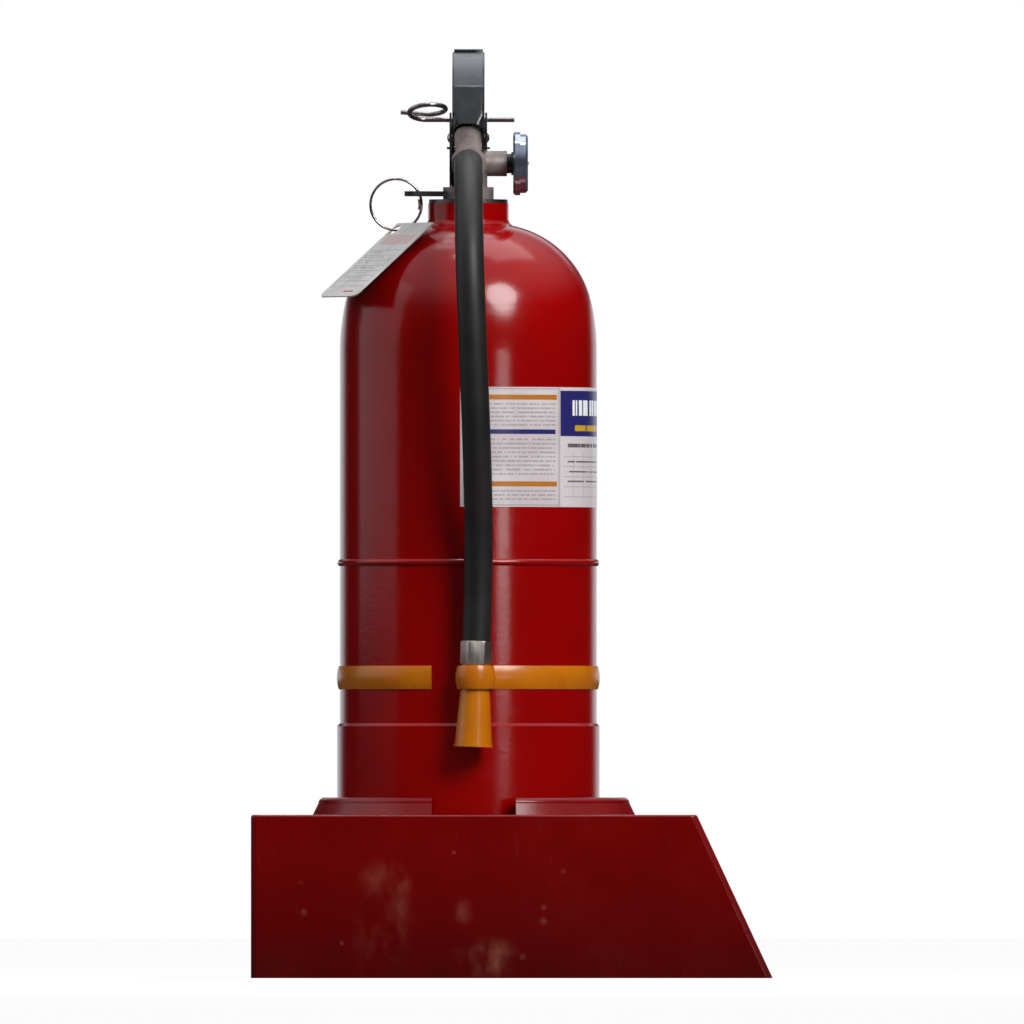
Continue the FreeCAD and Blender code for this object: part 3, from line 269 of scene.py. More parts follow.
def set_camera():
    """The photograph's view: level with the tank's foot, from the hose's side, by a very long lens."""
    distance = PIXEL * PHOTO_SIZE * LENS / SENSOR
    data = bpy.data.cameras.new("photo_camera")
    data.lens = LENS
    data.sensor_width = SENSOR
    data.clip_start = 1.0
    data.clip_end = 60.0
    camera = bpy.data.objects.new("photo_camera", data)
    bpy.context.scene.collection.objects.link(camera)
    camera.location = (AIM.x, -distance, EYE_HEIGHT)
    camera.rotation_euler = (AIM - camera.location).to_track_quat("-Z", "Y").to_euler()
    bpy.context.scene.camera = camera


def set_lamp(name, azimuth, height, distance, wide, tall, power,
             colour=(1, 1, 1), shape="RECTANGLE"):
    """A soft lamp aimed at the tank. Azimuth 0 is at the camera, 90 on the object's right."""
    data = bpy.data.lights.new(name, "AREA")
    data.shape = shape
    data.size = wide
    data.size_y = tall
    data.energy = power
    data.color = colour
    lamp = bpy.data.objects.new(name, data)
    bpy.context.scene.collection.objects.link(lamp)
    turn = math.radians(azimuth)
    rise = math.radians(height)
    way = Vector((math.sin(turn) * math.cos(rise), -math.cos(turn) * math.cos(rise), math.sin(rise)))
    lamp.location = LAMP_AIM + way * distance
    lamp.rotation_euler = (-way).to_track_quat("-Z", "Y").to_euler()


def set_world():
    """White to the camera. In reflections, bright behind and above, with a dark strip between."""
    world = bpy.data.worlds.new("studio")
    bpy.context.scene.world = world
    world.use_nodes = True
    studio = Tree(world.node_tree)
    way = studio.node("ShaderNodeTexCoord", out="Generated")
    rise = studio.part_of(way, "Z")
    strip = rise.within(STRIP_LOW, STRIP_HIGH, STRIP_SOFT)
    behind = studio.part_of(way, "Y").ease(BACK_FROM, BACK_TO) * (1 - STRIP_DEPTH * strip)
    above = rise.ease(SKY_FROM, SKY_TO) * SKY_LEVEL
    reflected = behind.or_more(above) + DARK_LEVEL
    shiny = studio.node("ShaderNodeLightPath", out="Is Glossy Ray")
    direct = studio.node("ShaderNodeLightPath", out="Is Camera Ray")
    through = studio.node("ShaderNodeLightPath", out="Is Transmission Ray")
    seen = direct.or_more(through)
    level = reflected * shiny + (1 - shiny) * FILL_LEVEL
    level = level * (1 - seen) + seen
    colour = studio.mix(seen, SKY_COLOUR, WHITE)
    light = studio.node("ShaderNodeBackground", None, {"Color": colour, "Strength": level})
    studio.node("ShaderNodeOutputWorld", None, {"Surface": light})


def set_floor():
    """A pale floor that keeps the object's shadow. It is dark in reflections."""
    bm = bmesh.new()
    bmesh.ops.create_grid(bm, x_segments=1, y_segments=1, size=FLOOR_REACH)
    mesh = bpy.data.meshes.new("studio_floor")
    bm.to_mesh(mesh)
    bm.free()
    floor = bpy.data.objects.new("studio_floor", mesh)
    bpy.context.scene.collection.objects.link(floor)
    paint = Finish("studio_floor")
    seen = paint.node("ShaderNodeLightPath", out="Is Camera Ray")
    colour = paint.mix(seen, FLOOR_GREY, WHITE)
    matte = paint.node("ShaderNodeBsdfDiffuse", None, {"Color": colour})
    glow = paint.node("ShaderNodeEmission", None, {"Color": WHITE, "Strength": 1.0})
    paint.close(paint.node("ShaderNodeMixShader", None, {0: seen * FLOOR_GLOW, 1: matte, 2: glow}))
    floor.data.materials.append(paint.material)


bpy.context.scene.view_settings.view_transform = "Standard"
set_camera()
set_world()
set_floor()
set_lamp("key", azimuth=34, height=33, distance=2.2, wide=1.05, tall=1.05, power=40, shape="ELLIPSE")
set_lamp("low_strip", azimuth=31, height=0.5, distance=2.2, wide=0.40, tall=0.14, power=1.6)
set_lamp("side_window", azimuth=-90, height=20.5, distance=1.6, wide=1.5, tall=1.3, power=4.6,
         colour=(0.95, 0.94, 1.0))
set_lamp("top", azimuth=150, height=72, distance=2.0, wide=1.6, tall=1.2, power=12)
set_lamp("front_fill", azimuth=-30, height=84, distance=2.4, wide=0.35, tall=0.35, power=5)


# Finishes

# The stand's side wall below the hose, where it is worn, from its face inwards
SIDE_FACE, SIDE_DEPTH = -0.1148, -0.1120
# X, Z, half width, half height and weight of the rubbed places on it
SIDE_RUBS = [
    (-0.0675, 0.030, 0.016, 0.034, 0.50),
    (-0.0135, 0.010, 0.019, 0.012, 0.75),
    (-0.0245, 0.034, 0.006, 0.008, 0.55),
    (-0.0620, 0.050, 0.011, 0.014, 0.40),
]
# X, Z and radius of the pale spots on it
SIDE_SPOTS = [
    (-0.1095, 0.0500, 0.0022), (-0.1075, 0.0340, 0.0024), (0.0165, 0.0295, 0.0026),
    (0.0165, 0.0365, 0.0018), (0.0265, 0.0555, 0.0020), (0.0055, 0.0110, 0.0022),
    (-0.0880, 0.0180, 0.0015), (0.0620, 0.0200, 0.0016), (-0.0300, 0.0650, 0.0013),
]


def tank_finish():
    """Gloss red paint with a faint orange peel, lighter flecks and thin dust."""
    paint = Finish("gloss_red_paint")
    drift = paint.noise(14, 3)
    fleck = paint.noise(900, 2)
    colour = paint.mix(drift.ease(0.3, 0.7), shade(144, 0, 0), shade(154, 0, 0))
    colour = paint.mix(fleck.ease(0.70, 0.80) * 0.20, colour, shade(170, 30, 20))
    dust = paint.noise(60, 4, 0.7).ease(0.52, 0.85)
    peel = paint.noise(420, 2, 0.4) + 0.35 * paint.noise(60, 2)
    return paint.surface(
        base_color=colour, roughness=0.16 + 0.10 * dust, specular_ior_level=0.42,
        normal=paint.bump(peel, 0.00012, 0.3))


def stand_finish():
    """Red moulded plastic, with painted shade darkening it towards the floor and dirt at its foot, rubbed
    and spotted on one side.
    """
    paint = Finish("moulded_red_plastic")
    cloud = paint.noise(22, 4, 0.6)
    colour = paint.mix(cloud.ease(0.3, 0.75), shade(116, 0, 0), shade(126, 0, 0))
    # Painted shade: the red darkens towards the floor, where less light reaches the stand's sides.
    colour = paint.mix((1 - paint.z.ease(-0.02, 0.085)) * 0.75, colour, shade(66, 0, 0))
    near = 1 - paint.y.ease(SIDE_FACE, SIDE_DEPTH)
    streaks = paint.noise(1.0, 3, 0.6, paint.stretched((60, 60, 34)))
    smear = paint.noise(42, 3, 0.6)
    wear = strongest([paint.oval(x, z, wide, tall, 0.25, 1.15) * weight
                      for x, z, wide, tall, weight in SIDE_RUBS])
    dots = strongest([paint.oval(x, z, size, size, 0.2, 1.1) * 0.30 for x, z, size in SIDE_SPOTS])
    wear = wear * streaks.ease(0.36, 0.72) * smear.ease(0.34, 0.66)
    rub = (wear + dots * smear.ease(0.35, 0.6)) * near
    scratch = paint.noise(1.0, 3, 0.6, paint.stretched((240, 240, 30))).ease(0.66, 0.72)
    # Blotchy darkening along the foot: dirt, together with painted shade near the floor.
    foot_dirt_and_shade = (1 - paint.z.ease(0.0, 0.03)) * paint.noise(40, 4, 0.7).ease(0.35, 0.7)
    colour = paint.mix(rub * 0.75, colour, shade(176, 108, 88))
    colour = paint.mix(foot_dirt_and_shade * 0.35, colour, shade(64, 14, 10))
    rough = 0.20 + 0.22 * rub + 0.10 * cloud.ease(0.45, 0.8) + 0.08 * scratch
    height = paint.noise(180, 3, 0.5) + 0.5 * paint.noise(26, 2) - 0.15 * scratch
    return paint.surface(
        base_color=colour, roughness=rough, specular_ior_level=0.30,
        normal=paint.bump(height, 0.00018, 0.35))


# The label's lower edge and height
LABEL_LOW = 0.2442
LABEL_HEIGHT = 0.0622
# The left edges of the label and of its bordered panel, in degrees from +X round the tank
LABEL_TURN = 93.6
PANEL_TURN = 44.7
# Columns and rows of the panel's table
GRID_COLUMN = 0.0105
GRID_ROW = 0.0052
# How soft the print's edges are, and how wide and soft its ruled lines
PRINT_SOFT = 0.00012
LINE_WIDTH = 0.00035
LINE_SOFT = 0.0001
# Solid bars of the pale panel: inset on the right, from, to, tint
PALE_BARS = [
    (0.001, 0.0556, 0.0582, "orange"), (0.002, 0.0378, 0.0402, "blue"),
    (0.001, 0.0106, 0.0132, "orange"),
]
# Small print of the pale panel: from, to, rows, seed
SMALL_PRINT = [(0.0415, 0.0545, 6, 1.7), (0.0160, 0.0362, 9, 5.1), (0.0030, 0.0094, 3, 9.4)]
# Broken bars of the bordered panel: inset on both sides, from, to, tint
PANEL_BARS = [
    (0.0100, 0.0475, 0.0555, "white"), (0.0120, 0.0395, 0.0425, "amber"),
    (0.0060, 0.0310, 0.0330, "grey"), (0.0060, 0.0232, 0.0240, "grey"),
    (0.0060, 0.0180, 0.0188, "grey"), (0.0060, 0.0130, 0.0138, "grey"),
]
PRINT = {
    "orange": shade(190, 118, 40), "blue": shade(44, 42, 110), "grey": shade(104, 98, 104),
    "amber": shade(214, 170, 40), "white": WHITE,
}


def label_finish():
    """Printed film: a pale panel of generic bars and a bordered panel beside it."""
    film = Finish("printed_label_film")
    across = film.y.turn_of(film.x - TANK_X) * TANK_RADIUS
    up = film.z - LABEL_LOW
    edge = -math.radians(PANEL_TURN) * TANK_RADIUS
    left = -math.radians(LABEL_TURN) * TANK_RADIUS
    pale = shade(222, 212, 213)
    colour = film.mix(film.noise(40, 2).ease(0.3, 0.7), pale, shade(208, 196, 197))

    def patch(u0, u1, v0, v1):
        return across.within(u0, u1, PRINT_SOFT) * up.within(v0, v1, PRINT_SOFT)

    def words(u0, u1, v0, v1, count, seed):
        """Rows of short grey marks that stand for small print."""
        pitch = (v1 - v0) / count
        row = ((up - v0) / pitch).floor()
        inside = ((up - v0) / pitch) - row
        line = inside.within(0.28, 0.66, 0.08)
        at = film.vector(across * 900, row * 7.3 + seed, 0.0)
        breaks = film.noise(1.0, 1, 0.5, at).ease(0.40, 0.48)
        return patch(u0, u1, v0, v1) * line * breaks

    u0 = left + 0.0024
    u1 = edge - 0.0012
    for inset, v0, v1, tint in PALE_BARS:
        colour = film.mix(patch(u0, u1 - inset, v0, v1), colour, PRINT[tint])
    for v0, v1, count, seed in SMALL_PRINT:
        colour = film.mix(words(u0, u1 - 0.002, v0, v1, count, seed) * 0.5, colour, PRINT["grey"])
    frame_line = patch(u0 - 0.001, u1 + 0.0003, 0.0008, 0.0614) - patch(u0 - 0.0006, u1, 0.0012, 0.0610)
    colour = film.mix(frame_line * 0.6, colour, PRINT["grey"])
    panel = patch(edge, -edge, 0.0, LABEL_HEIGHT)
    head = patch(edge + 0.0004, -edge, 0.0368, 0.0604)
    colour = film.mix(panel, colour, pale)
    colour = film.mix(head, colour, PRINT["blue"])
    for inset, v0, v1, tint in PANEL_BARS:
        dash = film.noise(1.0, 1, 0.5, film.vector(across * 420, v0 * 900, 2.0)).ease(0.38, 0.44)
        colour = film.mix(patch(edge + inset, -edge - inset, v0, v1) * dash, colour, PRINT[tint])
    table = patch(edge + 0.003, -edge - 0.003, 0.0040, 0.0285)
    columns = ((across - edge) % GRID_COLUMN).within(-1, LINE_WIDTH, LINE_SOFT)
    rows = (up % GRID_ROW).within(-1, LINE_WIDTH, LINE_SOFT)
    colour = film.mix(table * columns.or_more(rows) * 0.5, colour, PRINT["grey"])
    border = (abs(across) - abs(edge)).within(-0.0001, 0.0003, LINE_SOFT)
    colour = film.mix(border * 0.7, colour, PRINT["grey"])
    scuff = film.noise(90, 5, 0.7).ease(0.62, 0.8)
    colour = film.mix(scuff * 0.18, colour, shade(150, 136, 134))
    return film.surface(
        base_color=colour, roughness=0.28 + 0.15 * scuff, specular_ior_level=0.4,
        normal=film.bump(film.noise(70, 2), 0.00008, 0.3))


def plastic_finish(name, colour, worn, rough=0.3, grain=300, depth=0.00006, level=0.45):
    """Moulded plastic with cloudy colour, a fine grain and rubbed places."""
    made = Finish(name)
    cloud = made.noise(60, 4, 0.6)
    rubbed = made.noise(140, 5, 0.75).ease(0.58, 0.8)
    tint = made.mix(cloud.ease(0.3, 0.7) * 0.5, colour, worn)
    tint = made.mix(rubbed * 0.3, tint, worn)
    return made.surface(
        base_color=tint, roughness=rough + 0.15 * rubbed, specular_ior_level=level,
        normal=made.bump(made.noise(grain, 3), depth, 0.4))


def metal_finish(name, colour, worn, rough=0.3, brushed=(900, 900, 40), depth=0.00003, metallic=1.0):
    """Metal with drawn or turned marks and darker handled places."""
    made = Finish(name)
    marks = made.noise(1.0, 3, 0.6, made.stretched(brushed))
    stain = made.noise(110, 4, 0.7)
    tint = made.mix(marks.ease(0.35, 0.7) * 0.5, colour, worn)
    tint = made.mix(stain.ease(0.5, 0.75) * 0.45, tint, worn)
    return made.surface(
        base_color=tint, metallic=metallic, roughness=rough + 0.14 * stain.ease(0.4, 0.8),
        normal=made.bump(marks, depth, 0.5))


def cast_finish():
    """Die cast valve alloy: satin, slightly pitted, with a brown tinge."""
    made = Finish("cast_valve_alloy")
    cloud = made.noise(150, 4, 0.6)
    pits = made.noise(1400, 3, 0.6)
    tint = made.mix(cloud.ease(0.3, 0.7), shade(146, 133, 130), shade(120, 108, 105))
    tint = made.mix(pits.ease(0.62, 0.75) * 0.35, tint, shade(72, 62, 60))
    return made.surface(
        base_color=tint, metallic=0.35, roughness=0.44 + 0.10 * cloud, specular_ior_level=0.5,
        normal=made.bump(pits + 0.6 * cloud, 0.00008, 0.5))


def lever_finish():
    """Gloss black enamel with fine dust."""
    made = Finish("black_lever_enamel")
    cloud = made.noise(90, 4, 0.6)
    speck = made.noise(1600, 2)
    tint = made.mix(cloud.ease(0.3, 0.7), shade(26, 28, 31), shade(34, 37, 41))
    tint = made.mix(speck.ease(0.70, 0.78) * 0.3, tint, shade(110, 112, 114))
    return made.surface(
        base_color=tint, roughness=0.15 + 0.10 * cloud.ease(0.4, 0.8), specular_ior_level=0.5,
        normal=made.bump(made.noise(700, 2), 0.00004, 0.3))


def hose_finish():
    """Black rubber hose, drawn lengthwise, with a soft bloom."""
    made = Finish("hose_black_rubber")
    lines = made.noise(1.0, 3, 0.55, made.stretched((1500, 1500, 60)))
    bloom = made.noise(45, 4, 0.6)
    tint = made.mix(bloom.ease(0.35, 0.75), shade(27, 24, 23), shade(38, 35, 33))
    tint = made.mix(made.noise(1100, 2).ease(0.70, 0.8) * 0.3, tint, shade(86, 82, 78))
    return made.surface(
        base_color=tint, roughness=0.44 + 0.14 * bloom, specular_ior_level=0.4,
        normal=made.bump(lines, 0.00006, 0.4))


# Half the green sector, the end of the red and the amber one, and the space between ticks, in degrees
GREEN_TURN = 28
SCALE_TURN = 125
TICK_STEP = 12.5
# Inner and outer radius of the coloured band, the ticks and the line round the dial
BAND = (0.0082, 0.0118)
TICK = (0.0074, 0.0126)
DIAL_RIM = (0.0127, 0.0130)


def gauge_face_finish():
    """A printed dial: red, green and amber sectors with ticks, round the gauge's axis."""
    dial = Finish("gauge_dial_print")
    reach = (dial.y ** 2 + (dial.z - OUTLET_Z) ** 2).root()
    turn = dial.y.turn_of(dial.z - OUTLET_Z)
    paper = dial.mix(dial.noise(300, 2), shade(226, 224, 214), shade(212, 209, 198))
    band = reach.within(*BAND, 0.0001)
    limit = math.radians(GREEN_TURN)
    green = band * (abs(turn) < limit)
    red = band * (turn > limit) * (turn < math.radians(SCALE_TURN))
    amber = band * (turn < -limit) * (turn > math.radians(-SCALE_TURN))
    colour = dial.mix(green, paper, shade(40, 120, 52))
    colour = dial.mix(red, colour, shade(168, 30, 24))
    colour = dial.mix(amber, colour, shade(214, 160, 36))
    step = math.radians(TICK_STEP)
    tick = ((turn + math.radians(SCALE_TURN) + step / 2) % step) - step / 2
    mark = (abs(tick) < 0.02) * reach.within(*TICK, 0.0001) * (abs(turn) < math.radians(SCALE_TURN + 2))
    rim = reach.within(*DIAL_RIM, 0.0001)
    colour = dial.mix(mark.or_more(rim), colour, shade(24, 24, 24))
    return dial.surface(base_color=colour, roughness=0.45 + 0.1 * dial.noise(200, 2))


def lens_finish():
    """Clear lens, faintly scratched."""
    glass = Finish("gauge_clear_lens")
    haze = glass.noise(500, 4, 0.7)
    return glass.surface(
        base_color=shade(236, 242, 246), roughness=0.02 + 0.05 * haze.ease(0.5, 0.8),
        transmission_weight=1.0, ior=1.46, normal=glass.bump(haze, 0.00001, 0.2))


# The tag's hole, and the ways across and down its card
TAG_HOLE = Vector((-0.060390, -0.007466, 0.388440))
TAG_ACROSS = Vector((0.46947, -0.88295, 0.0))
TAG_ALONG = Vector((-0.67938, -0.36123, -0.63871))
TAG_SOFT = 0.00015
ROW_PITCH = 0.0042
COLUMN_PITCH = 0.0115
# Left, right, top and bottom of the tag's header, its ruled table, the marks in it and a red line
HEADER = (0.000, 0.031, 0.0045, 0.0125)
TABLE = (-0.003, 0.0315, 0.0160, 0.0480)
ENTRIES = (-0.001, 0.020, 0.0165, 0.0400)
RED_LINE = (0.016, 0.027, 0.0503, 0.0513)


def tag_finish():
    """Light grey card with a pale header, ruled lines and a small red line."""
    card = Finish("inspection_card")
    u = card.along(TAG_HOLE, TAG_ACROSS)
    v = card.along(TAG_HOLE, TAG_ALONG)
    soil = card.noise(60, 4, 0.7)
    ruled = shade(118, 116, 120)
    colour = card.mix(soil.ease(0.4, 0.8), shade(212, 209, 206), shade(188, 184, 180))

    def patch(u0, u1, v0, v1):
        return u.within(u0, u1, TAG_SOFT) * v.within(v0, v1, TAG_SOFT)

    colour = card.mix(patch(*HEADER) * 0.7, colour, shade(205, 170, 168))
    rows = (v % ROW_PITCH).within(-1, 0.0004, LINE_SOFT)
    colour = card.mix(patch(*TABLE) * rows * 0.65, colour, ruled)
    columns = ((u + 0.003) % COLUMN_PITCH).within(-1, LINE_WIDTH, LINE_SOFT)
    colour = card.mix(patch(*TABLE) * columns * 0.5, colour, ruled)
    scribble = card.noise(1.0, 2, 0.6, card.vector(u * 700, (v / ROW_PITCH).floor() * 3.1, 0.0))
    entry = patch(*ENTRIES) * (v % ROW_PITCH).within(0.0012, 0.0026, 0.0003)
    colour = card.mix(entry * scribble.ease(0.50, 0.58) * 0.6, colour, shade(84, 84, 96))
    colour = card.mix(patch(*RED_LINE), colour, shade(176, 44, 40))
    return card.surface(
        base_color=colour, roughness=0.62 + 0.1 * soil, specular_ior_level=0.35,
        normal=card.bump(card.noise(1200, 3), 0.00004, 0.4))


# Marks of a piece that was turned or cast, alike in every direction
EVEN = (300, 300, 300)

FINISHES = {
    "stand_plastic": stand_finish(),
    "tank_paint": tank_finish(),
    "label_film": label_finish(),
    "dry_powder": plastic_finish("dry_powder_heap", shade(242, 234, 222), shade(226, 216, 200), 0.9, 900),
    "tube_plastic": plastic_finish("dip_tube_plastic", shade(238, 238, 232), shade(214, 212, 204), 0.4),
    "seal_rubber": plastic_finish("seal_rubber", shade(34, 33, 33), shade(52, 50, 49), 0.55),
    "washer_zinc": metal_finish("zinc_washer", shade(112, 112, 118), shade(78, 76, 80), 0.38, EVEN),
    "valve_alloy": cast_finish(),
    "stem_steel": metal_finish("turned_stem_steel", shade(190, 188, 184), shade(150, 148, 144), 0.24),
    "spring_steel": metal_finish("spring_steel", shade(170, 168, 164), shade(120, 118, 114), 0.3),
    "lever_black": lever_finish(),
    "rivet_steel": metal_finish("rivet_steel", shade(196, 192, 188), shade(132, 128, 124), 0.26, EVEN),
    "pin_steel": metal_finish("drawn_pin_steel", shade(168, 160, 158), shade(92, 84, 84), 0.2,
                              (60, 1400, 1400)),
    "gauge_black": plastic_finish("gauge_connector_black", shade(30, 29, 30), shade(48, 46, 46), 0.42),
    # The case's and bezel's blue-grey colour, and their share that is not metal, are a painted reflection:
    # they lighten the dark band that the metal reflects.
    "gauge_chrome": metal_finish("gauge_chrome", shade(150, 158, 176), shade(122, 130, 148), 0.10,
                                 (400, 400, 400), 0.000008, 0.85),
    "gauge_glass": lens_finish(),
    "gauge_face": gauge_face_finish(),
    "needle_paint": plastic_finish("needle_yellow_paint", shade(232, 196, 40), shade(206, 168, 30), 0.35),
    "tube_brass": metal_finish("tube_brass", shade(214, 178, 96), shade(150, 118, 60), 0.25),
    "hose_rubber": hose_finish(),
    "ferrule_steel": metal_finish("ferrule_steel", shade(206, 196, 190), shade(150, 142, 138), 0.34,
                                  (500, 500, 30)),
    "nozzle_plastic": plastic_finish("orange_moulded_plastic", shade(202, 118, 0), shade(186, 90, 0), 0.26,
                                     160, 0.00008, 0.5),
    "tab_plastic": plastic_finish("tab_black_plastic", shade(28, 26, 26), shade(58, 54, 52), 0.4),
    "ring_steel": metal_finish("ring_steel", shade(186, 176, 170), shade(96, 84, 82), 0.18,
                               (700, 700, 700)),
    "tag_card": tag_finish(),
}

SLOT_OF = {
    "stand_shell": "stand_plastic", "lower_shell": "tank_paint", "upper_shell": "tank_paint",
    "girth_weld": "tank_paint", "neck_ring": "tank_paint", "neck_weld": "tank_paint",
    "base_skirt": "tank_paint", "wrap_label": "label_film", "powder_charge": "dry_powder",
    "dip_tube": "tube_plastic", "neck_o_ring": "seal_rubber", "valve_washer": "washer_zinc",
    "valve_body": "valve_alloy", "valve_stem": "stem_steel", "stem_seal": "seal_rubber",
    "stem_o_ring": "seal_rubber", "valve_spring": "spring_steel", "carry_handle": "lever_black",
    "squeeze_lever": "lever_black", "lever_rivet": "rivet_steel", "handle_cross_pin": "rivet_steel",
    "safety_pin": "pin_steel", "gauge_stem": "gauge_black", "gauge_seal": "seal_rubber",
    "gauge_case": "gauge_chrome", "gauge_bezel": "gauge_chrome", "gauge_lens": "gauge_glass",
    "gauge_dial": "gauge_face", "gauge_needle": "needle_paint", "bourdon_tube": "tube_brass",
    "hose_coupling": "ferrule_steel", "hose": "hose_rubber", "hose_ferrule": "ferrule_steel",
    "nozzle": "nozzle_plastic", "nozzle_strap": "nozzle_plastic", "tag_tab": "tab_plastic",
    "tag_ring": "ring_steel", "inspection_tag": "tag_card",
}


# Hose

def make_hose(ferrule):
    """The hose from the outlet to its ferrule, stiff and held at both ends."""
    data = bpy.data.curves.new("rubber_hose", "CURVE")
    data.dimensions = "3D"
    line = data.splines.new("NURBS")
    line.points.add(len(HOSE_PATH) - 1)
    for point, place in zip(line.points, HOSE_PATH):
        point.co = (*place, 1.0)
    line.order_u = 3
    line.use_endpoint_u = True
    line.resolution_u = 12
    data.bevel_depth = HOSE_RADIUS
    data.bevel_resolution = 8
    data.use_fill_caps = True
    hose = bpy.data.objects.new("rubber_hose", data)
    bpy.context.scene.collection.objects.link(hose)
    data.materials.append(FINISHES["hose_rubber"])
    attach(hose, "extinguisher")
    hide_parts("hose")


# Shapes made from the frame's own solids or from their outlines

# Degrees: a surface turns smoothly up to the first, and an edge is rounded off past the second
SMOOTH_TURN = 35
SHARP_TURN = 40


def finished(bm, name, slot, body, stands_for):
    """Turns a mesh under work into a piece of the object, smooth up to an edge's angle."""
    mesh = bpy.data.meshes.new(name)
    bm.to_mesh(mesh)
    bm.free()
    mesh.shade_smooth()
    mesh.set_sharp_from_angle(angle=math.radians(SMOOTH_TURN))
    mesh.materials.append(FINISHES[slot])
    piece = bpy.data.objects.new(name, mesh)
    bpy.context.scene.collection.objects.link(piece)
    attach(piece, body)
    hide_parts(*stands_for)
    return piece


def sharp_edges(bm):
    """The edges where two faces meet at more than a sharp edge's angle."""
    limit = math.radians(SHARP_TURN)
    return [e for e in bm.edges if len(e.link_faces) == 2 and e.calc_face_angle() > limit]


def round_off(bm, edges, width, segments):
    """Rounds edges of a mesh under work."""
    bmesh.ops.bevel(
        bm, geom=edges, offset=width, offset_type="OFFSET", affect="EDGES",
        segments=segments, profile=0.5, material=-1, clamp_overlap=True)


def merged_copy(node):
    """A solid's mesh with its loose triangles joined."""
    bm = bmesh.new()
    bm.from_mesh(nodes[node].data)
    bmesh.ops.remove_doubles(bm, verts=bm.verts, dist=2e-6)
    return bm


def softened(node, name, slot, body, width, segments):
    """A solid's copy with its sharp edges rounded."""
    bm = merged_copy(node)
    bmesh.ops.dissolve_limit(
        bm, angle_limit=math.radians(0.6), verts=bm.verts, edges=bm.edges, delimit=set())
    round_off(bm, sharp_edges(bm), width, segments)
    return finished(bm, name, slot, body, [node])


def from_pivot(x, y, z):
    """A point with its X in metres and its Y and Z in millimetres from the lever's rivet."""
    return Vector((PIVOT.x + x, PIVOT.y + y * MM, PIVOT.z + z * MM))


def plate(outline, half_width):
    """A closed plate across the valve. The outline is Y and Z in millimetres from the pivot."""
    bm = bmesh.new()
    face = bm.faces.new([bm.verts.new(from_pivot(-half_width, y, z)) for y, z in outline])
    grown = bmesh.ops.extrude_face_region(bm, geom=[face])["geom"]
    moved = [v for v in grown if isinstance(v, bmesh.types.BMVert)]
    bmesh.ops.translate(bm, verts=moved, vec=(2 * half_width, 0, 0))
    bmesh.ops.recalc_face_normals(bm, faces=bm.faces)
    return bm


def carved(bm, tools):
    """The mesh under work with each tool's shape taken out of it."""
    scraps = []
    for made in [bm] + tools:
        mesh = bpy.data.meshes.new("carving")
        made.to_mesh(mesh)
        made.free()
        scraps.append(bpy.data.objects.new("carving", mesh))
        bpy.context.scene.collection.objects.link(scraps[-1])
    for tool in scraps[1:]:
        cut = scraps[0].modifiers.new("cut", "BOOLEAN")
        cut.operation = "DIFFERENCE"
        cut.solver = "EXACT"
        cut.object = tool
    graph = bpy.context.evaluated_depsgraph_get()
    result = bmesh.new()
    result.from_mesh(scraps[0].evaluated_get(graph).to_mesh())
    for scrap in scraps:
        mesh = scrap.data
        bpy.data.objects.remove(scrap)
        bpy.data.meshes.remove(mesh)
    return result


# The lever. Half widths and sheet in metres, outlines and holes in millimetres from the pivot.
LEVER_HALF = 0.0084
TONGUE_HALF = 0.0078
LIP_HALF = 0.0075
TOOL_HALF = 0.02
SHEET = 0.0010
BACK_ROUNDING = 0.0020
PLATE_ROUNDING = 0.0003
# How far the front's lowest corner and its knee are drawn in
FRONT_DRAW = 0.0046
KNEE_DRAW = 0.0020
RIVET_HOLE = 1.86
# The safety pin's slot: its radius, its middle with the lever at rest, and its arc in degrees
SLOT_RADIUS = 1.55
SLOT_PLACE = Vector((1.3, 9.4))
SLOT_TURN = 15.0
SLOT_STEPS = 4
LEVER_LINE = [
    (-7.8, 7.5), (-5.6, 12.0), (1.7, 27.1), (89.2, 46.7), (92.2, 43.8), (90.6, 39.0),
    (17.0, 19.3), (8.4, 8.6), (5.0, 0.0), (4.62, -1.91), (3.54, -3.54), (1.91, -4.62),
    (0.0, -5.0), (-1.91, -4.62), (-3.54, -3.54), (-4.62, -1.91), (-5.0, 0.0), (-6.9, 4.6),
]
# The tongue that presses the stem, and the folded lip at the lever's end
TONGUE = [(1.9, 11.3), (10.9, 11.3), (10.9, 12.9), (1.9, 12.9)]
LIP = [(88.2, 45.4), (88.2, 47.3), (88.9, 47.85), (91.4, 45.6), (90.6, 44.8)]


def pierced(y, z, radius):
    """A round tool through the lever, in millimetres from the pivot."""
    around = [(y + radius * math.cos(i * math.pi / 16), z + radius * math.sin(i * math.pi / 16))
              for i in range(32)]
    return plate(around, TOOL_HALF)


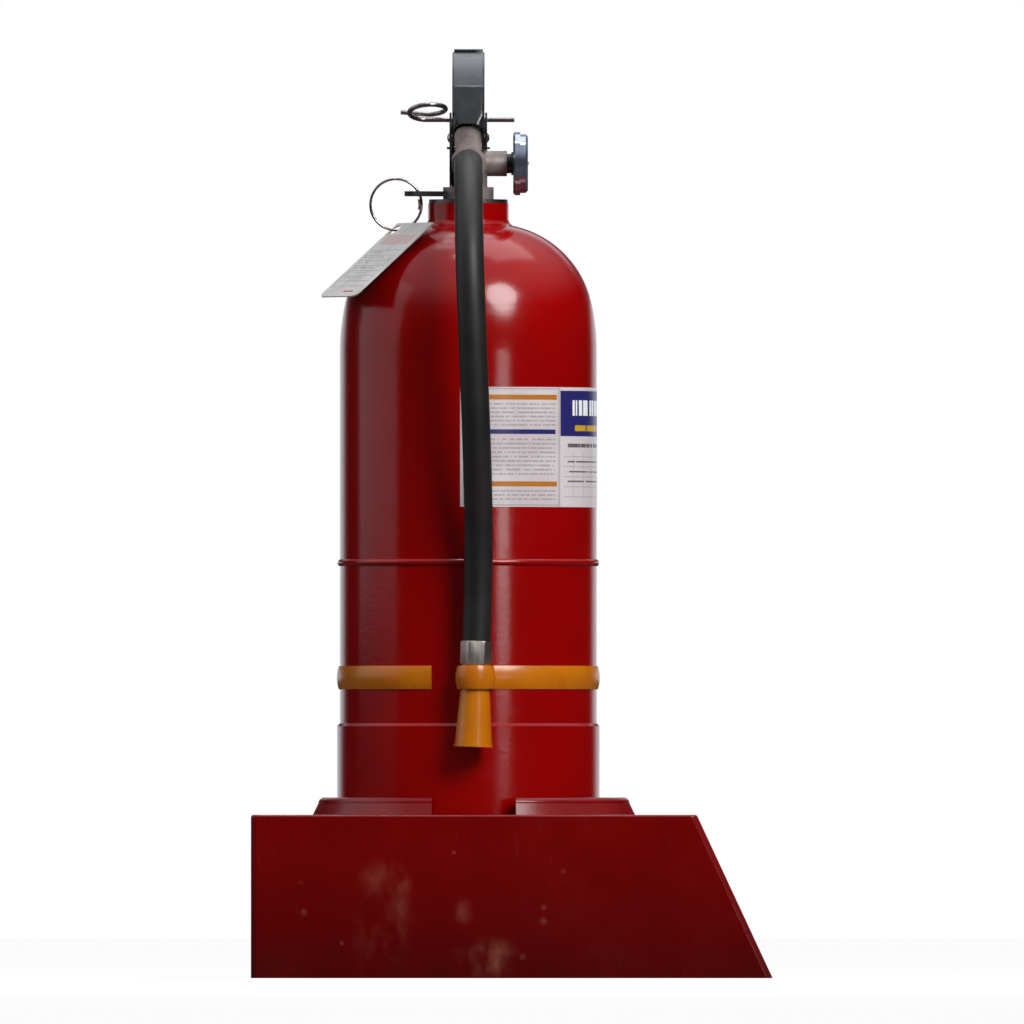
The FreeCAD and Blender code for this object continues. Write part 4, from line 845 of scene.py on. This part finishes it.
def lever_sheet():
    """The lever's bent sheet: a rounded back and two hanging sides, open below."""
    bm = plate(LEVER_LINE, LEVER_HALF)

    def at(place, side):
        spot = from_pivot(side * LEVER_HALF, *place)
        return min(bm.verts, key=lambda v: (v.co - spot).length)

    def between(first, second):
        return [e for e in bm.edges if set(e.verts) == {first, second}]

    front, knee, bend, rear, end = LEVER_LINE[:5]
    breast = LEVER_LINE[-1]
    for side in (-1, 1):
        bmesh.ops.connect_verts(bm, verts=[at(bend, side), at(breast, side)])
    under = [f for f in bm.faces if abs(f.normal.x) < 0.1 and f.normal.z < 0.25]
    bmesh.ops.delete(bm, geom=under, context="FACES_ONLY")

    rounded = between(at(bend, -1), at(bend, 1)) + between(at(rear, -1), at(rear, 1))
    for side in (-1, 1):
        line = [at(place, side) for place in (front, knee, bend, rear, end)]
        for first, second in zip(line, line[1:]):
            rounded += between(first, second)
        rounded += between(line[2], at(breast, side))
        line[0].co.x -= side * FRONT_DRAW
        line[1].co.x -= side * KNEE_DRAW
    bmesh.ops.recalc_face_normals(bm, faces=bm.faces)
    round_off(bm, rounded, BACK_ROUNDING, 5)
    bmesh.ops.recalc_face_normals(bm, faces=bm.faces)
    top = max(bm.faces, key=lambda f: f.calc_center_median().z)
    if top.normal.z < 0:
        bmesh.ops.reverse_faces(bm, faces=bm.faces)
    bmesh.ops.solidify(bm, geom=bm.faces[:], thickness=SHEET)
    bmesh.ops.recalc_face_normals(bm, faces=bm.faces)
    return bm


def make_lever():
    """The pressed lever with its rivet hole, its slot for the pin, its tongue and its lip."""
    holes = []
    for i in range(SLOT_STEPS + 1):
        turn = math.radians(SLOT_TURN * i / SLOT_STEPS)
        y = SLOT_PLACE.x * math.cos(turn) - SLOT_PLACE.y * math.sin(turn)
        z = SLOT_PLACE.x * math.sin(turn) + SLOT_PLACE.y * math.cos(turn)
        holes.append(pierced(y, z, SLOT_RADIUS))
    holes.append(pierced(0.0, 0.0, RIVET_HOLE))
    bm = carved(lever_sheet(), holes)
    for extra in (plate(TONGUE, TONGUE_HALF), plate(LIP, LIP_HALF)):
        round_off(extra, sharp_edges(extra), PLATE_ROUNDING, 2)
        scrap = bpy.data.meshes.new("extra")
        extra.to_mesh(scrap)
        extra.free()
        bm.from_mesh(scrap)
        bpy.data.meshes.remove(scrap)
    finished(bm, "pressed_lever", "lever_black", "lever", ["squeeze_lever"])


def make_spring():
    """The valve's spring, on a mesh of its own. In the valve it shortens while the lever presses the stem
    down.
    """
    spring = finished(
        merged_copy("valve_spring"), "return_spring", "spring_steel", "extinguisher", ["valve_spring"])
    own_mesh(spring)


make_hose(softened("hose_ferrule", "crimped_ferrule", "ferrule_steel", "extinguisher", 0.0003, 2))
make_lever()
softened("carry_handle", "pressed_carry_handle", "lever_black", "extinguisher", 0.0004, 3)
softened("valve_body", "cast_valve", "valve_alloy", "extinguisher", 0.0004, 3)
make_spring()

for name, node in nodes.items():
    node.data.materials.clear()
    node.data.materials.append(FINISHES[SLOT_OF[name]])
